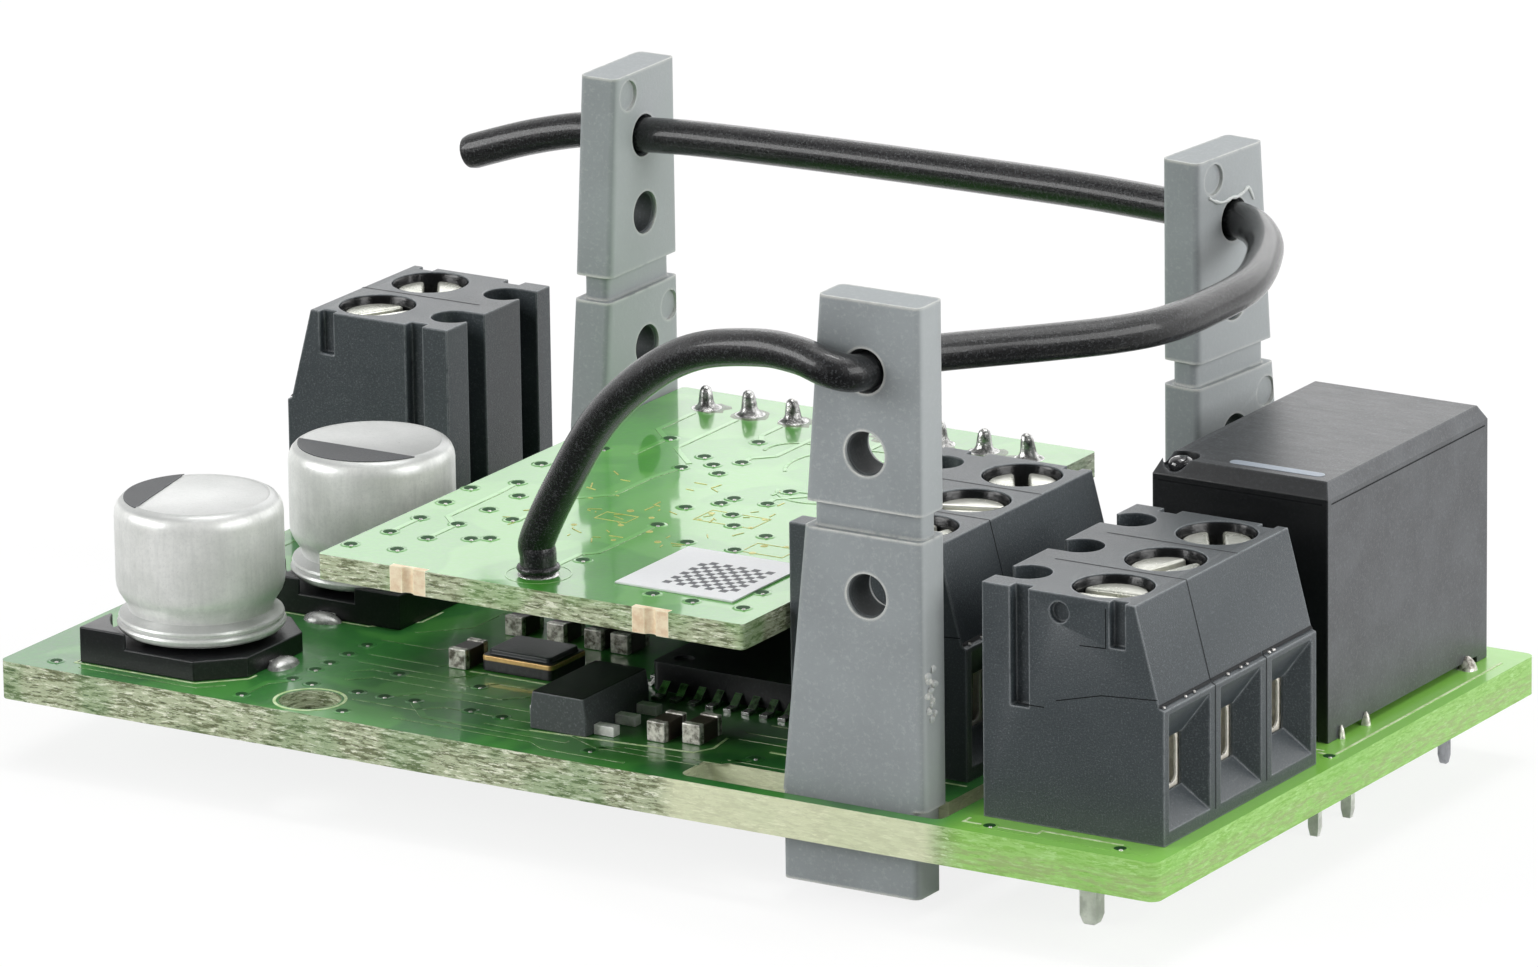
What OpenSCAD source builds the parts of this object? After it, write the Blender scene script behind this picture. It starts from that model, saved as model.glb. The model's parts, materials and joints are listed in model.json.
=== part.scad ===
// Smart relay module: two stacked boards, a sealed relay, rising-cage screw terminals,
// two can capacitors and an aerial wire threaded through three plastic holders.
// Millimetres, Z up. Layout values are measured from the main board's left front top corner.

/* [Main board] */
// Main board length along X
board_l = 51; // [51:0.1:52]
// Main board depth along Y
board_w = 29.2; // [29.2:0.1:29.6]
// Main board thickness
board_t = 1.5; // [1.4:0.1:1.6]
// Corner radius of both boards
corner_r = 0.4; // [0.3:0.05:0.6]
// Locating hole diameter
locating_d = 2.4; // [2.2:0.05:2.5]
// Strip of board left in front of the front slot
front_strip = 0.6; // [0.5:0.05:0.8]
// Left end of the front slot
slot_x = 30.3; // [30:0.1:31]
// Right end of the front slot and of the isolating slot
slot_end_x = 41.6; // [41.5:0.05:41.9]
// Width of the isolating slot between the mains side and the logic side
leg_w = 0.85; // [0.7:0.05:0.85]
// Rear end of the isolating slot
leg_end_y = 13; // [10:0.5:14]

/* [Radio board] */
// Radio board length along X
radio_l = 18.85; // [18.6:0.05:18.95]
// Radio board depth along Y
radio_w = 26.1; // [25.8:0.1:26.4]
// Radio board thickness
radio_t = 1; // [0.8:0.1:1.2]
// Free height between the two boards
board_gap = 4.75; // [4.6:0.05:5.1]
// Pitch of the pin strips between the boards
strip_pitch = 2; // [1.9:0.05:2]
// Width of a copper pad on the radio board's front edge
edge_pad_w = 1.6; // [1.2:0.1:2]

/* [Terminal blocks] */
// Distance between poles
pitch = 3.81; // [3.75:0.01:3.86]
// Block depth from back face to entry face
block_depth = 7.62; // [7.58:0.01:7.7]
// Block height above the board
block_h = 8.98; // [8.9:0.02:9.2]
// Screw well diameter
well_d = 3.05; // [3:0.05:3.1]
// Screw head diameter
head_d = 2.7; // [2.5:0.05:2.75]
// Screw thread diameter
screw_d = 2; // [1.8:0.05:2.1]
// Running clearance between thread and cage, on the radius
thread_gap = 0.05; // [0.02:0.01:0.1]
// Travel of a clamp cage
cage_lift = 1.6; // [1.2:0.1:1.7]
// Terminal pin width
pin_w = 0.7; // [0.6:0.05:0.75]
// Length of terminal and relay pins below the board's top face
pin_reach = 4.1; // [3.9:0.1:4.6]

/* [Relay] */
// Relay length along Y
relay_l = 12.5; // [12.4:0.05:12.6]
// Relay width along X
relay_w = 7.5; // [7.4:0.05:7.6]
// Height of the relay's lid above the board
relay_h = 10.05; // [9.95:0.05:10.4]

/* [Aerial holders and wire] */
// Holder height above the board
holder_h = 19.2; // [18.8:0.1:19.8]
// Holder thickness
holder_t = 1.7; // [1.6:0.05:1.75]
// Holder width at its top
holder_top_w = 4.36; // [4.2:0.02:4.5]
// Holder width at the board
holder_base_w = 6.2; // [6.1:0.05:6.3]
// Eye diameter
eye_d = 1.7; // [1.65:0.05:1.8]
// Outside diameter of the wire
wire_d = 1.4; // [1.3:0.05:1.45]
// Angle the right holder stands off square
right_turn = 5.5; // [0:0.5:6]

/* [Capacitors] */
// Can diameter
can_d = 6.5; // [6.3:0.05:6.55]
// Height of the can's top above the board
can_top = 6.3; // [6.1:0.1:6.8]
// Side of the square plastic seat
seat_w = 6.75; // [6.7:0.05:6.9]

/* [Hidden] */
// Part to draw
eps = 0.05;
corner_fn = 16;
small_fn = 13;
hole_fn = 14;
thread_fn = 16;
well_fn = 24;
can_fn = 28;

// main board layout
locating_x = 13.24;
locating_y = 1.62;
slot_round = 0.42;
solder_h = 0.6;

// radio board layout
radio_x = 13.55;
radio_back = 1.2;
radio_y = board_w - radio_w - radio_back;
radio_top = board_gap + radio_t;
aerial_in = [8.75, 1.8];
aerial_x = radio_x + aerial_in[0];
aerial_y = radio_y + aerial_in[1];
edge_pad_in = [4.05, 14.8];
edge_pad_x = [for (d = edge_pad_in) radio_x + d];
edge_pad_d = 0.3;
strip_in_x = [2.4, 11.05];
strip_x = [for (d = strip_in_x) radio_x + d];
strip_in_y = 2.1;
strip_y = radio_y + radio_w - strip_in_y;
strip_ways = 4;
strip_pin_w = 0.5;
strip_hole_d = 0.8;
joint_r = 0.75;
joint_tip_r = 0.3;
joint_h = 0.75;
strip_chamfer = 0.3;

// terminal block section, X from the back face, Z from the board
end_trim = 0.08;
pole_inset = (pitch - end_trim) / 2;
slope_top = 6.42;
slope_foot = block_depth - 0.2;
ledge_z = 5.25;
ledge_drop = 0.1;
screw_x = 4.47;
groove_x = 0.9;
groove_r = 0.875;
claw_y = 0.35;
rib_w = 1.18;
end_groove_w = 0.77;
end_groove_d = 0.45;
end_groove_z = 4.45;
key_x = 5.36;
key_w = 0.64;
key_d = 0.35;
key_z = 7.25;
mark_x = 3.25;
mark_z = 8.28;
mark_r = 0.4;
mark_d = 0.25;
cavity_x = 2.2;
cavity_l = 4;
cavity_w = 3;
mouth_w = 3.05;
mouth_z = 0.45;
mouth_top = 5;
entry_w = 1.9;
entry_z = 1.75;
entry_h = 2.3;
funnel_d = 1.1;

// clamp cage, contact and screw
cage_l = 3.2;
cage_w = 2.9;
cage_h = 4.2;
cage_wall = 0.45;
cage_room = 0.05;
cage_in = screw_d + 2 * thread_gap + 2 * cage_room;
cage_r = 0.5;
cage_z = 0.6;
collar_r = 1.3;
collar_h = 0.45;
cage_top = cage_z + cage_h;
bar_top = cage_top - cage_wall;
bar_t = 0.4;
bar_w = 1.7;
bar_end = 6.1;
foot_z = 0.05;
bend = 0.15;
pin_x = 3.48;
cavity_top = cage_top + collar_h + cage_lift + 0.1;
shelf_z = cavity_top + 0.45;
shank_gap = 0.1;
head_h = 0.95;
slot_w = 0.55;
slot_h = 0.55;
tip_gap = 0.05;
pin_hole_d = 1.1;
tip_h = 0.35;
tip_narrow = 0.3;

// terminal block positions: corner of the back face
front_block = [42.72, 1.8];
middle_in = [10.12, 3.085];
middle_block = [front_block[0] - middle_in[0], front_block[1] + middle_in[1]];
rear_overhang = 0.4;
rear_gap = 0.94;
rear_block = [block_depth - rear_overhang, board_w - rear_gap];
front_angles = [5, 72, 122];
middle_angles = [75, 20, 122];
rear_angles = [122, 60];

// relay, X and Y from its middle
relay_x = 45.79;
relay_behind = 2.35;
relay_y = front_block[1] + 3 * pitch - end_trim + relay_behind + relay_l / 2;
relay_lift = 0.25;
relay_wall = 0.45;
relay_rim_z = relay_h - 0.58;
relay_in_top = relay_h - 0.7;
lid_inset_x = 0.25;
lid_inset_y = 0.4;
foot_w = 0.8;
base_top = 0.95;
rp_x = 2.54;
rp_end = 5.08;
rp_coil = -2.54;
rp_w = 0.45;
rp_t = 0.3;
relay_hole_d = 0.8;
seal_x = -2.94;
seal_y = -5.45;
seal_z = relay_rim_z + 0.08;
seal_r = 0.5;
notch_r = 0.7;
coil_y = 3.05;
core_r = 1;
pole_r = 1.6;
pole_top = 8.15;
yoke_t = 0.6;
yoke_y = -0.25;
yoke_half = 2.1;
yoke_end = 5.35;
flange_w = 6.2;
flange_d = 5;
flange_t = 0.5;
coil_z = base_top + yoke_t + 0.05;
coil_top = 7.7;
coil_r = 2.4;
tube_wall = 0.3;
hinge_y = 0.05;
hinge_z = 8.2;
arm_open = 5;
arm_t = 0.5;
arm_end = 4.85;
arm_half = 2;
leg_drop = 2.6;
blade_t = 0.2;
blade_half = 1.4;
boss_t = 0.35;
contact_z = 3.9;
contact_r = 0.45;
blade_y = -1.5;
moving_front = -1.75;
moving_back = -1.02;
rest_gap = 0.02;
open_gap = 0.44;
fixed_t = 0.2;
strip_in = 1.1;
strip_out = 1.9;

// holders: U from the straight side, T through the thickness
neck_z = 10.33;
neck_h = 0.98;
neck_low_w = 5.09;
neck_high_w = 5;
neck_side = 0.5;
neck_face = 0.3;
holder_edge_r = 0.3;
far = 12;
tab_z = -3.4;
tab_inset = 0.3;
eye_u = 2.4;
eye_z = [8, 13.42, holder_h - 2.65];
wire_z = holder_h - 2.65;
ledge_u = 0.9;
ledge_l = 4.2;
ledge_d = 0.35;
ledge_h = 0.5;
barb_h = 0.9;
dimple_r = 0.6;
dimple_d = 0.15;
rear_slack = 0.1;
front_holder_y = 0.9;
front_holder = [slot_end_x - leg_w, front_holder_y + holder_t];
left_holder_back = 1.15;
left_holder = [11.7, board_w - left_holder_back];
right_holder_back = 5.7;
right_holder = [38.7, board_w - right_holder_back];
left_marks = [[3.47, holder_h - 0.82], [0.72, 9.25]];
right_marks = [[1.06, holder_h - 0.82], [4.5, 9.25]];

// aerial wire
core_d = 0.8;
core_low = 0.45;
wire_foot = radio_top + 0.2;
wire_sides = 10;
wire_steps = 2;

// capacitors
cap_1 = [6.25, 4.7];
cap_2 = [8, 14.05];
seat_h = 0.8;
lug_h = 1.42;
lug_w = 2.1;
lug_t = 0.8;
lug_gap = 0.25;
seat_chamfer = 1.5;
lead_w = 0.8;
lead_l = 0.5;
lead_t = 0.25;

// small parts
crystal = [18.5, 9.15];
crystal_size = [3.2, 2.5, 0.85];
regulator = [23.7, 4.9];
regulator_size = [2.5, 4.5, 1.5];
regulator_lead_y = [-1.5, 0, 1.5];
regulator_lead = [0.9, 0.45, 0.4];
chip_at = [[16, 8.4], [15.6, 13], [17.5, 13], [19.2, 13], [20.4, 13], [27.5, 4.3], [28.8, 4.7]];
chip_w = 0.8;
chip_l = 1.6;
chip_h = 0.8;
chip_end = 0.3;
mcu = [27.5, 12.3];
mcu_w = 7;
mcu_h = 1.1;
mcu_lift = 0.1;
mcu_leads = 8;
mcu_pitch = 0.8;
mcu_lead_w = 0.35;
mcu_lead_l = 0.9;
mcu_lead_t = 0.15;
mcu_lead_z = 0.55;
mcu_lead_bend = 0.35;
radio_chip_at = [21.5, 16];
radio_chip_w = 5;
radio_chip_h = 0.9;

// frame: middle of the box, lowest face
x_min = rear_block[0] - block_depth;
y_min = -0.918;
turn_round = holder_edge_r * (cos(right_turn) + sin(right_turn) - 1);
y_max = right_holder[1] + holder_base_w * cos(right_turn) + holder_t / 2 * sin(right_turn) - turn_round;
frame_shift = [-(board_l + x_min) / 2, -(y_max + y_min) / 2, pin_reach];

// pole positions of a block in the layout
function pole_y(i) = pole_inset + i * pitch;
front_poles = [for (i = [0:2]) [front_block[0] + screw_x, front_block[1] + pole_y(i), 0]];
middle_poles = [for (i = [0:2]) [middle_block[0] + screw_x, middle_block[1] + pole_y(i), 0]];
rear_poles = [for (i = [0:1]) [rear_block[0] - screw_x, rear_block[1] - pole_y(i), 180]];
poles = concat(front_poles, middle_poles, rear_poles);
slot_angles = concat(front_angles, middle_angles, rear_angles);

// pin positions
pin_dx = pin_x - screw_x;
terminal_pins = [for (p = poles) [p[0] + pin_dx * cos(p[2]), p[1]]];
relay_pins = [for (sx = [-1, 1], y = [-rp_end, rp_coil, rp_end]) [relay_x + sx * rp_x, relay_y + y]];
strip_pins = [for (x = strip_x, i = [0:strip_ways - 1]) [x + i * strip_pitch, strip_y]];

// rounded rectangle from its corner
module rrect(l, w, r) {
  translate([r, 0]) square([l - 2 * r, w]);
  translate([0, r]) square([l, w - 2 * r]);
  for (x = [r, l - r], y = [r, w - r]) translate([x, y]) circle(r = r, $fn = corner_fn);
}

// four-sided frustum on Z
module frustum(w0, d0, w1, d1, h) {
  polyhedron(
    points = [
      [-w0 / 2, -d0 / 2, 0], [w0 / 2, -d0 / 2, 0], [w0 / 2, d0 / 2, 0], [-w0 / 2, d0 / 2, 0],
      [-w1 / 2, -d1 / 2, h], [w1 / 2, -d1 / 2, h], [w1 / 2, d1 / 2, h], [-w1 / 2, d1 / 2, h]
    ],
    faces = [
      [0, 1, 2, 3], [7, 6, 5, 4], [4, 5, 1, 0], [5, 6, 2, 1], [6, 7, 3, 2], [7, 4, 0, 3]
    ]
  );
}

// upright square pin with a narrowed lower tip
module pin(wx, wy, low, high) {
  translate([-wx / 2, -wy / 2, low + tip_h]) cube([wx, wy, high - low - tip_h]);
  translate([0, 0, low + tip_h]) mirror([0, 0, 1])
    frustum(wx, wy, wx - tip_narrow * wx, wy - tip_narrow * wy, tip_h);
}

// solder cone hanging under the main board around a pin
module joint_below(x, y, r, wx, wy) {
  translate([x, y, -board_t - solder_h]) difference() {
    cylinder(r1 = wx * 0.75, r2 = r, h = solder_h, $fn = small_fn);
    translate([-wx / 2, -wy / 2, -eps]) cube([wx, wy, solder_h + 2 * eps]);
  }
}

module main_board() {
  hole_h = board_t + 2 * eps;
  color("#2f8a3c") difference() {
    translate([0, 0, -board_t]) linear_extrude(board_t) rrect(board_l, board_w, corner_r);
    translate([locating_x, locating_y, -board_t - eps]) cylinder(d = locating_d, h = hole_h, $fn = well_fn);
    // front slot and isolating slot
    translate([slot_x, front_strip, -board_t - eps]) linear_extrude(hole_h)
      rrect(slot_end_x - slot_x, front_holder[1] - front_strip, slot_round);
    translate([slot_end_x - leg_w, front_strip + slot_round, -board_t - eps])
      cube([leg_w, leg_end_y - front_strip - slot_round, hole_h]);
    // rear holder slots, the right one open at the rear edge
    translate([left_holder[0] - rear_slack, left_holder[1] - holder_base_w - rear_slack, -board_t - eps])
      cube([holder_t + 2 * rear_slack, holder_base_w - tab_inset + 2 * rear_slack, hole_h]);
    translate([right_holder[0], right_holder[1], -board_t - eps]) rotate(-right_turn)
      translate([-holder_t / 2 - rear_slack, tab_inset - rear_slack, 0])
        cube([holder_t + 2 * rear_slack, board_w, hole_h]);
    // pin holes
    for (p = terminal_pins) translate([p[0], p[1], -board_t - eps])
      cylinder(d = pin_hole_d, h = hole_h, $fn = hole_fn);
    for (p = relay_pins) translate([p[0], p[1], -board_t - eps])
      cylinder(d = relay_hole_d, h = hole_h, $fn = hole_fn);
    for (p = strip_pins) translate([p[0], p[1], -board_t - eps])
      cylinder(d = strip_hole_d, h = hole_h, $fn = hole_fn);
  }
}

module radio_board() {
  color("#6fc06a") difference() {
    translate([radio_x, radio_y, board_gap]) linear_extrude(radio_t) rrect(radio_l, radio_w, corner_r / 2);
    translate([aerial_x, aerial_y, board_gap - eps])
      cylinder(d = core_d + 0.3, h = radio_t + 2 * eps, $fn = hole_fn);
    for (p = strip_pins) translate([p[0], p[1], board_gap - eps])
      cylinder(d = strip_hole_d, h = radio_t + 2 * eps, $fn = hole_fn);
    for (x = edge_pad_x) translate([x - edge_pad_w / 2, radio_y - eps, board_gap - eps])
      cube([edge_pad_w, edge_pad_d + eps, radio_t + 2 * eps]);
  }
}

// copper pads let into the front edge, with a half-round soldering notch
module radio_edge_pads() {
  color("#d9a36a") for (x = edge_pad_x) difference() {
    translate([x - edge_pad_w / 2, radio_y, board_gap]) cube([edge_pad_w, edge_pad_d, radio_t]);
    translate([x, radio_y - edge_pad_d / 2, board_gap - eps])
      cylinder(r = edge_pad_d, h = radio_t + 2 * eps, $fn = hole_fn);
  }
}

module header_spacer(x) {
  half = strip_pitch / 2;
  color("#26282a") difference() {
    translate([x, strip_y, 0]) linear_extrude(board_gap)
      for (i = [0:strip_ways - 1]) translate([i * strip_pitch, 0])
        polygon([
          [-half, -half + strip_chamfer], [-half + strip_chamfer, -half],
          [half - strip_chamfer, -half], [half, -half + strip_chamfer],
          [half, half - strip_chamfer], [half - strip_chamfer, half],
          [-half + strip_chamfer, half], [-half, half - strip_chamfer]
        ]);
    for (i = [0:strip_ways - 1])
      translate([x + i * strip_pitch - strip_pin_w / 2, strip_y - strip_pin_w / 2, -eps])
        cube([strip_pin_w, strip_pin_w, board_gap + 2 * eps]);
  }
}

module header_pins() {
  half = strip_pin_w / 2;
  color("#d8d8d4") for (p = strip_pins)
    translate([p[0] - half, p[1] - half, -board_t]) cube([strip_pin_w, strip_pin_w, board_t + radio_top]);
}

module radio_solder() {
  color("#c9c9c6") {
    for (p = strip_pins) translate([p[0], p[1], radio_top])
      cylinder(r1 = joint_r, r2 = joint_tip_r, h = joint_h, $fn = small_fn);
    translate([aerial_x, aerial_y, radio_top]) difference() {
      cylinder(r1 = core_d, r2 = wire_d / 2 - 0.1, h = wire_foot - radio_top, $fn = hole_fn);
      translate([0, 0, -eps]) cylinder(d = core_d, h = 1, $fn = hole_fn);
    }
  }
}

module board_solder() {
  color("#c9c9c6") {
    for (p = terminal_pins) joint_below(p[0], p[1], 0.95, pin_w, pin_w);
    for (p = relay_pins) joint_below(p[0], p[1], 0.7, rp_w, rp_t);
    for (p = strip_pins) translate([p[0], p[1], -board_t - solder_h])
      cylinder(r1 = joint_tip_r, r2 = joint_r, h = solder_h, $fn = small_fn);
  }
}

// terminal housing of n ways, from its back corner
module terminal_housing(n) {
  len = n * pitch - end_trim;
  tall = block_h + 2 * eps;
  wall_x = cavity_x + cavity_l;
  color("#3a3d40") difference() {
    translate([0, len, 0]) rotate([90, 0, 0]) linear_extrude(len) polygon([
      [0, 0], [block_depth, 0], [block_depth, ledge_z - ledge_drop],
      [slope_foot, ledge_z], [slope_top, block_h], [0, block_h]
    ]);
    for (i = [0:n - 1]) translate([0, pole_y(i), 0]) {
      translate([screw_x, 0, shelf_z]) cylinder(d = well_d, h = tall - shelf_z, $fn = well_fn);
      translate([screw_x, 0, cavity_top - eps])
        cylinder(d = screw_d + 2 * shank_gap, h = shelf_z - cavity_top + 2 * eps, $fn = hole_fn);
      translate([cavity_x, -cavity_w / 2, -eps]) cube([cavity_l, cavity_w, cavity_top + eps]);
      translate([wall_x - eps, -entry_w / 2, entry_z])
        cube([block_depth - funnel_d - wall_x + 2 * eps, entry_w, entry_h]);
      translate([block_depth + eps, 0, 0]) entry_funnel();
      translate([groove_x, 0, -eps]) cylinder(r = groove_r, h = tall, $fn = thread_fn);
      translate([-eps, -groove_r, -eps]) cube([groove_x + eps, groove_r + claw_y, tall]);
    }
    // dovetail groove, key slot and dimple on both end faces
    for (side = [0, 1]) translate([0, side * len, 0]) mirror([0, side, 0]) {
      translate([rib_w, -eps, end_groove_z]) cube([end_groove_w, end_groove_d + eps, tall]);
      translate([key_x, -eps, key_z]) cube([key_w, key_d + eps, tall]);
      translate([mark_x, mark_d, mark_z]) rotate([90, 0, 0]) cylinder(r = mark_r, h = 1, $fn = hole_fn);
    }
  }
}

// funnel that leads a conductor into the cage
module entry_funnel() {
  depth = funnel_d + eps;
  z0 = mouth_z;
  z1 = mouth_top;
  polyhedron(
    points = [
      [0, -mouth_w / 2, z0], [0, mouth_w / 2, z0], [0, mouth_w / 2, z1], [0, -mouth_w / 2, z1],
      [-depth, -entry_w / 2, entry_z], [-depth, entry_w / 2, entry_z],
      [-depth, entry_w / 2, entry_z + entry_h], [-depth, -entry_w / 2, entry_z + entry_h]
    ],
    faces = [
      [3, 2, 1, 0], [4, 5, 6, 7], [0, 1, 5, 4], [1, 2, 6, 5], [2, 3, 7, 6], [3, 0, 4, 7]
    ]
  );
}

// bent contact strip of one pole with its soldering pin
module terminal_contact() {
  color("#d6c98e") {
    translate([0, bar_w / 2, 0]) rotate([90, 0, 0]) linear_extrude(bar_w) polygon([
      [cavity_x, foot_z + bend], [cavity_x + bend, foot_z], [pin_x + pin_w / 2, foot_z],
      [pin_x + pin_w / 2, foot_z + bar_t], [cavity_x + bar_t, foot_z + bar_t],
      [cavity_x + bar_t, bar_top - bar_t], [bar_end, bar_top - bar_t], [bar_end, bar_top],
      [cavity_x + bend, bar_top], [cavity_x, bar_top - bend]
    ]);
    translate([pin_x, 0, 0]) pin(pin_w, pin_w, -pin_reach, foot_z + bar_t / 2);
  }
}

// rectangular cage with a threaded collar, round its own screw axis
module clamp_cage() {
  color("#cfcac0") difference() {
    union() {
      translate([-cage_l / 2, -cage_w / 2, cage_z]) rotate([90, 0, 90]) linear_extrude(cage_l)
        rrect(cage_w, cage_h, cage_r);
      translate([0, 0, cage_top - eps]) cylinder(r = collar_r, h = collar_h + eps, $fn = thread_fn);
    }
    translate([-cage_l / 2 - eps, -cage_in / 2, cage_z + cage_wall])
      rotate([90, 0, 90]) linear_extrude(cage_l + 2 * eps)
        square([cage_in, cage_h - 2 * cage_wall]);
    translate([0, 0, bar_top - eps]) cylinder(d = screw_d + 2 * thread_gap, h = 2, $fn = thread_fn);
  }
}

// slotted clamp screw round its own axis
module clamp_screw(angle) {
  color("#d5d6d2") difference() {
    union() {
      translate([0, 0, bar_top + tip_gap])
        cylinder(d = screw_d, h = shelf_z - bar_top - tip_gap + eps, $fn = thread_fn);
      translate([0, 0, shelf_z]) cylinder(d = head_d, h = head_h - 0.15, $fn = well_fn);
      translate([0, 0, shelf_z + head_h - 0.15])
        cylinder(d1 = head_d, d2 = head_d - 0.3, h = 0.15, $fn = well_fn);
    }
    translate([0, 0, shelf_z + head_h - slot_h]) rotate(angle)
      translate([-head_d, -slot_w / 2, 0]) cube([2 * head_d, slot_w, slot_h + eps]);
  }
}

module at_block(at, turn) {
  translate([at[0], at[1], 0]) rotate(turn) children();
}

module block_contacts(n) {
  for (i = [0:n - 1]) translate([0, pole_y(i), 0]) terminal_contact();
}

module screw_node(i) {
  p = poles[i];
  translate([p[0], p[1], 0]) clamp_screw(slot_angles[i]);
}

module cage_node(i) {
  p = poles[i];
  translate([p[0], p[1], 0]) rotate(p[2]) clamp_cage();
}

module in_relay() {
  translate([relay_x, relay_y, 0]) children();
}

// box given by its two corners
module span(a, b) {
  translate(a) cube([b[0] - a[0], b[1] - a[1], b[2] - a[2]]);
}

// relay cover: open box with a bevelled lid, stand-off feet and a vent notch
module relay_cover() {
  hw = relay_w / 2;
  hl = relay_l / 2;
  color("#3b3e42") in_relay() {
    difference() {
      intersection() {
        translate([0, hl, 0]) rotate([90, 0, 0]) linear_extrude(relay_l) polygon([
          [-hw, relay_lift], [hw, relay_lift], [hw, relay_rim_z], [hw - lid_inset_x, relay_h],
          [-hw + lid_inset_x, relay_h], [-hw, relay_rim_z]
        ]);
        translate([-hw, 0, 0]) rotate([90, 0, 90]) linear_extrude(relay_w) polygon([
          [-hl, relay_lift], [hl, relay_lift], [hl, relay_rim_z], [hl - lid_inset_y, relay_h],
          [-hl + lid_inset_y, relay_h], [-hl, relay_rim_z]
        ]);
      }
      span([-hw + relay_wall, -hl + relay_wall, 0], [hw - relay_wall, hl - relay_wall, relay_in_top]);
      translate([seal_x, seal_y, seal_z]) cylinder(r = notch_r, h = 2, $fn = hole_fn);
    }
    for (sx = [-1, 1], sy = [-1, 1])
      translate([sx * (hw - relay_wall / 2), sy * (hl - foot_w / 2), relay_lift / 2 + eps / 2])
        cube([relay_wall, foot_w, relay_lift + eps], center = true);
  }
}

module relay_vent_seal() {
  color("#1c1d1f") in_relay() translate([seal_x, seal_y, seal_z]) intersection() {
    sphere(r = seal_r, $fn = corner_fn);
    translate([-1, -1, 0]) cube(2);
  }
}

// one relay pin through the base
module relay_pin(x, y, high) {
  translate([x, y, 0]) pin(rp_w, rp_t, -pin_reach, high);
}

module relay_base() {
  color("#2c2f33") in_relay() difference() {
    span([-relay_w / 2 + relay_wall, -relay_l / 2 + relay_wall, relay_lift],
         [relay_w / 2 - relay_wall, relay_l / 2 - relay_wall, base_top]);
    for (sx = [-1, 1], y = [-rp_end, rp_coil, rp_end])
      translate([sx * rp_x - rp_w / 2, y - rp_t / 2, 0]) cube([rp_w, rp_t, 2]);
  }
}

module relay_bobbin() {
  color("#e6e2d6") in_relay() translate([0, coil_y, 0]) difference() {
    union() {
      span([-flange_w / 2, -flange_d / 2, coil_z], [flange_w / 2, flange_d / 2, coil_z + flange_t]);
      span([-flange_w / 2, -flange_d / 2, coil_top - flange_t], [flange_w / 2, flange_d / 2, coil_top]);
      translate([0, 0, coil_z]) cylinder(r = core_r + tube_wall, h = coil_top - coil_z, $fn = thread_fn);
    }
    cylinder(r = core_r, h = relay_h, $fn = thread_fn);
  }
}

module relay_winding() {
  color("#b4662f") in_relay() translate([0, coil_y, coil_z + flange_t]) difference() {
    cylinder(r = coil_r, h = coil_top - coil_z - 2 * flange_t, $fn = well_fn);
    translate([0, 0, -eps]) cylinder(r = core_r + tube_wall, h = relay_h, $fn = thread_fn);
  }
}

module relay_core() {
  color("#a9abad") in_relay() translate([0, coil_y, 0]) {
    translate([0, 0, base_top + yoke_t])
      cylinder(r = core_r, h = coil_top - base_top - yoke_t + eps, $fn = thread_fn);
    translate([0, 0, coil_top]) cylinder(r = pole_r, h = pole_top - coil_top, $fn = thread_fn);
  }
}

// yoke: bottom plate, upright plate and the two common pins
module relay_yoke() {
  color("#9a9c9e") in_relay() {
    span([-rp_x - rp_w / 2, coil_y, base_top], [rp_x + rp_w / 2, yoke_end, base_top + yoke_t]);
    span([-yoke_half, yoke_y, base_top], [yoke_half, coil_y + eps, base_top + yoke_t]);
    span([-yoke_half, yoke_y, base_top], [yoke_half, yoke_y + yoke_t, pole_top]);
    for (sx = [-1, 1]) relay_pin(sx * rp_x, rp_end, base_top + eps);
  }
}

// armature: plate tilted open over the pole, and a leg in front of the yoke
module relay_armature() {
  leg_y = yoke_y - 0.2;
  color("#8d9093") in_relay() {
    translate([0, hinge_y, hinge_z]) rotate([arm_open, 0, 0])
      span([-arm_half, leg_y - arm_t - hinge_y, 0], [arm_half, arm_end, arm_t]);
    span([-arm_half, leg_y - arm_t, hinge_z - leg_drop], [arm_half, leg_y, hinge_z + arm_t / 2]);
    span([-blade_half, leg_y - arm_t - boss_t, hinge_z - leg_drop + 0.4],
         [blade_half, leg_y - arm_t + eps, hinge_z - 0.8]);
  }
}

module relay_contact_spring() {
  color("#c98a4b") in_relay() {
    span([-blade_half, blade_y, contact_z - 0.6], [blade_half, blade_y + blade_t, hinge_z - 0.6]);
    translate([0, moving_back, contact_z]) rotate([90, 0, 0])
      cylinder(r = contact_r, h = moving_back - moving_front, $fn = hole_fn);
  }
}

// fixed contact: pin, strip on the base, blade and button
module relay_fixed_contacts() {
  nc_y = moving_back + rest_gap;
  no_y = moving_front - open_gap;
  button = 0.2;
  color("#c98a4b") in_relay() {
    fixed_contact(-1, nc_y + button);
    translate([0, nc_y + button + eps, contact_z]) rotate([90, 0, 0])
      cylinder(r = contact_r, h = button + eps, $fn = hole_fn);
    fixed_contact(1, no_y - button - fixed_t);
    translate([0, no_y, contact_z]) rotate([90, 0, 0])
      cylinder(r = contact_r, h = button + eps, $fn = hole_fn);
  }
}

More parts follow.
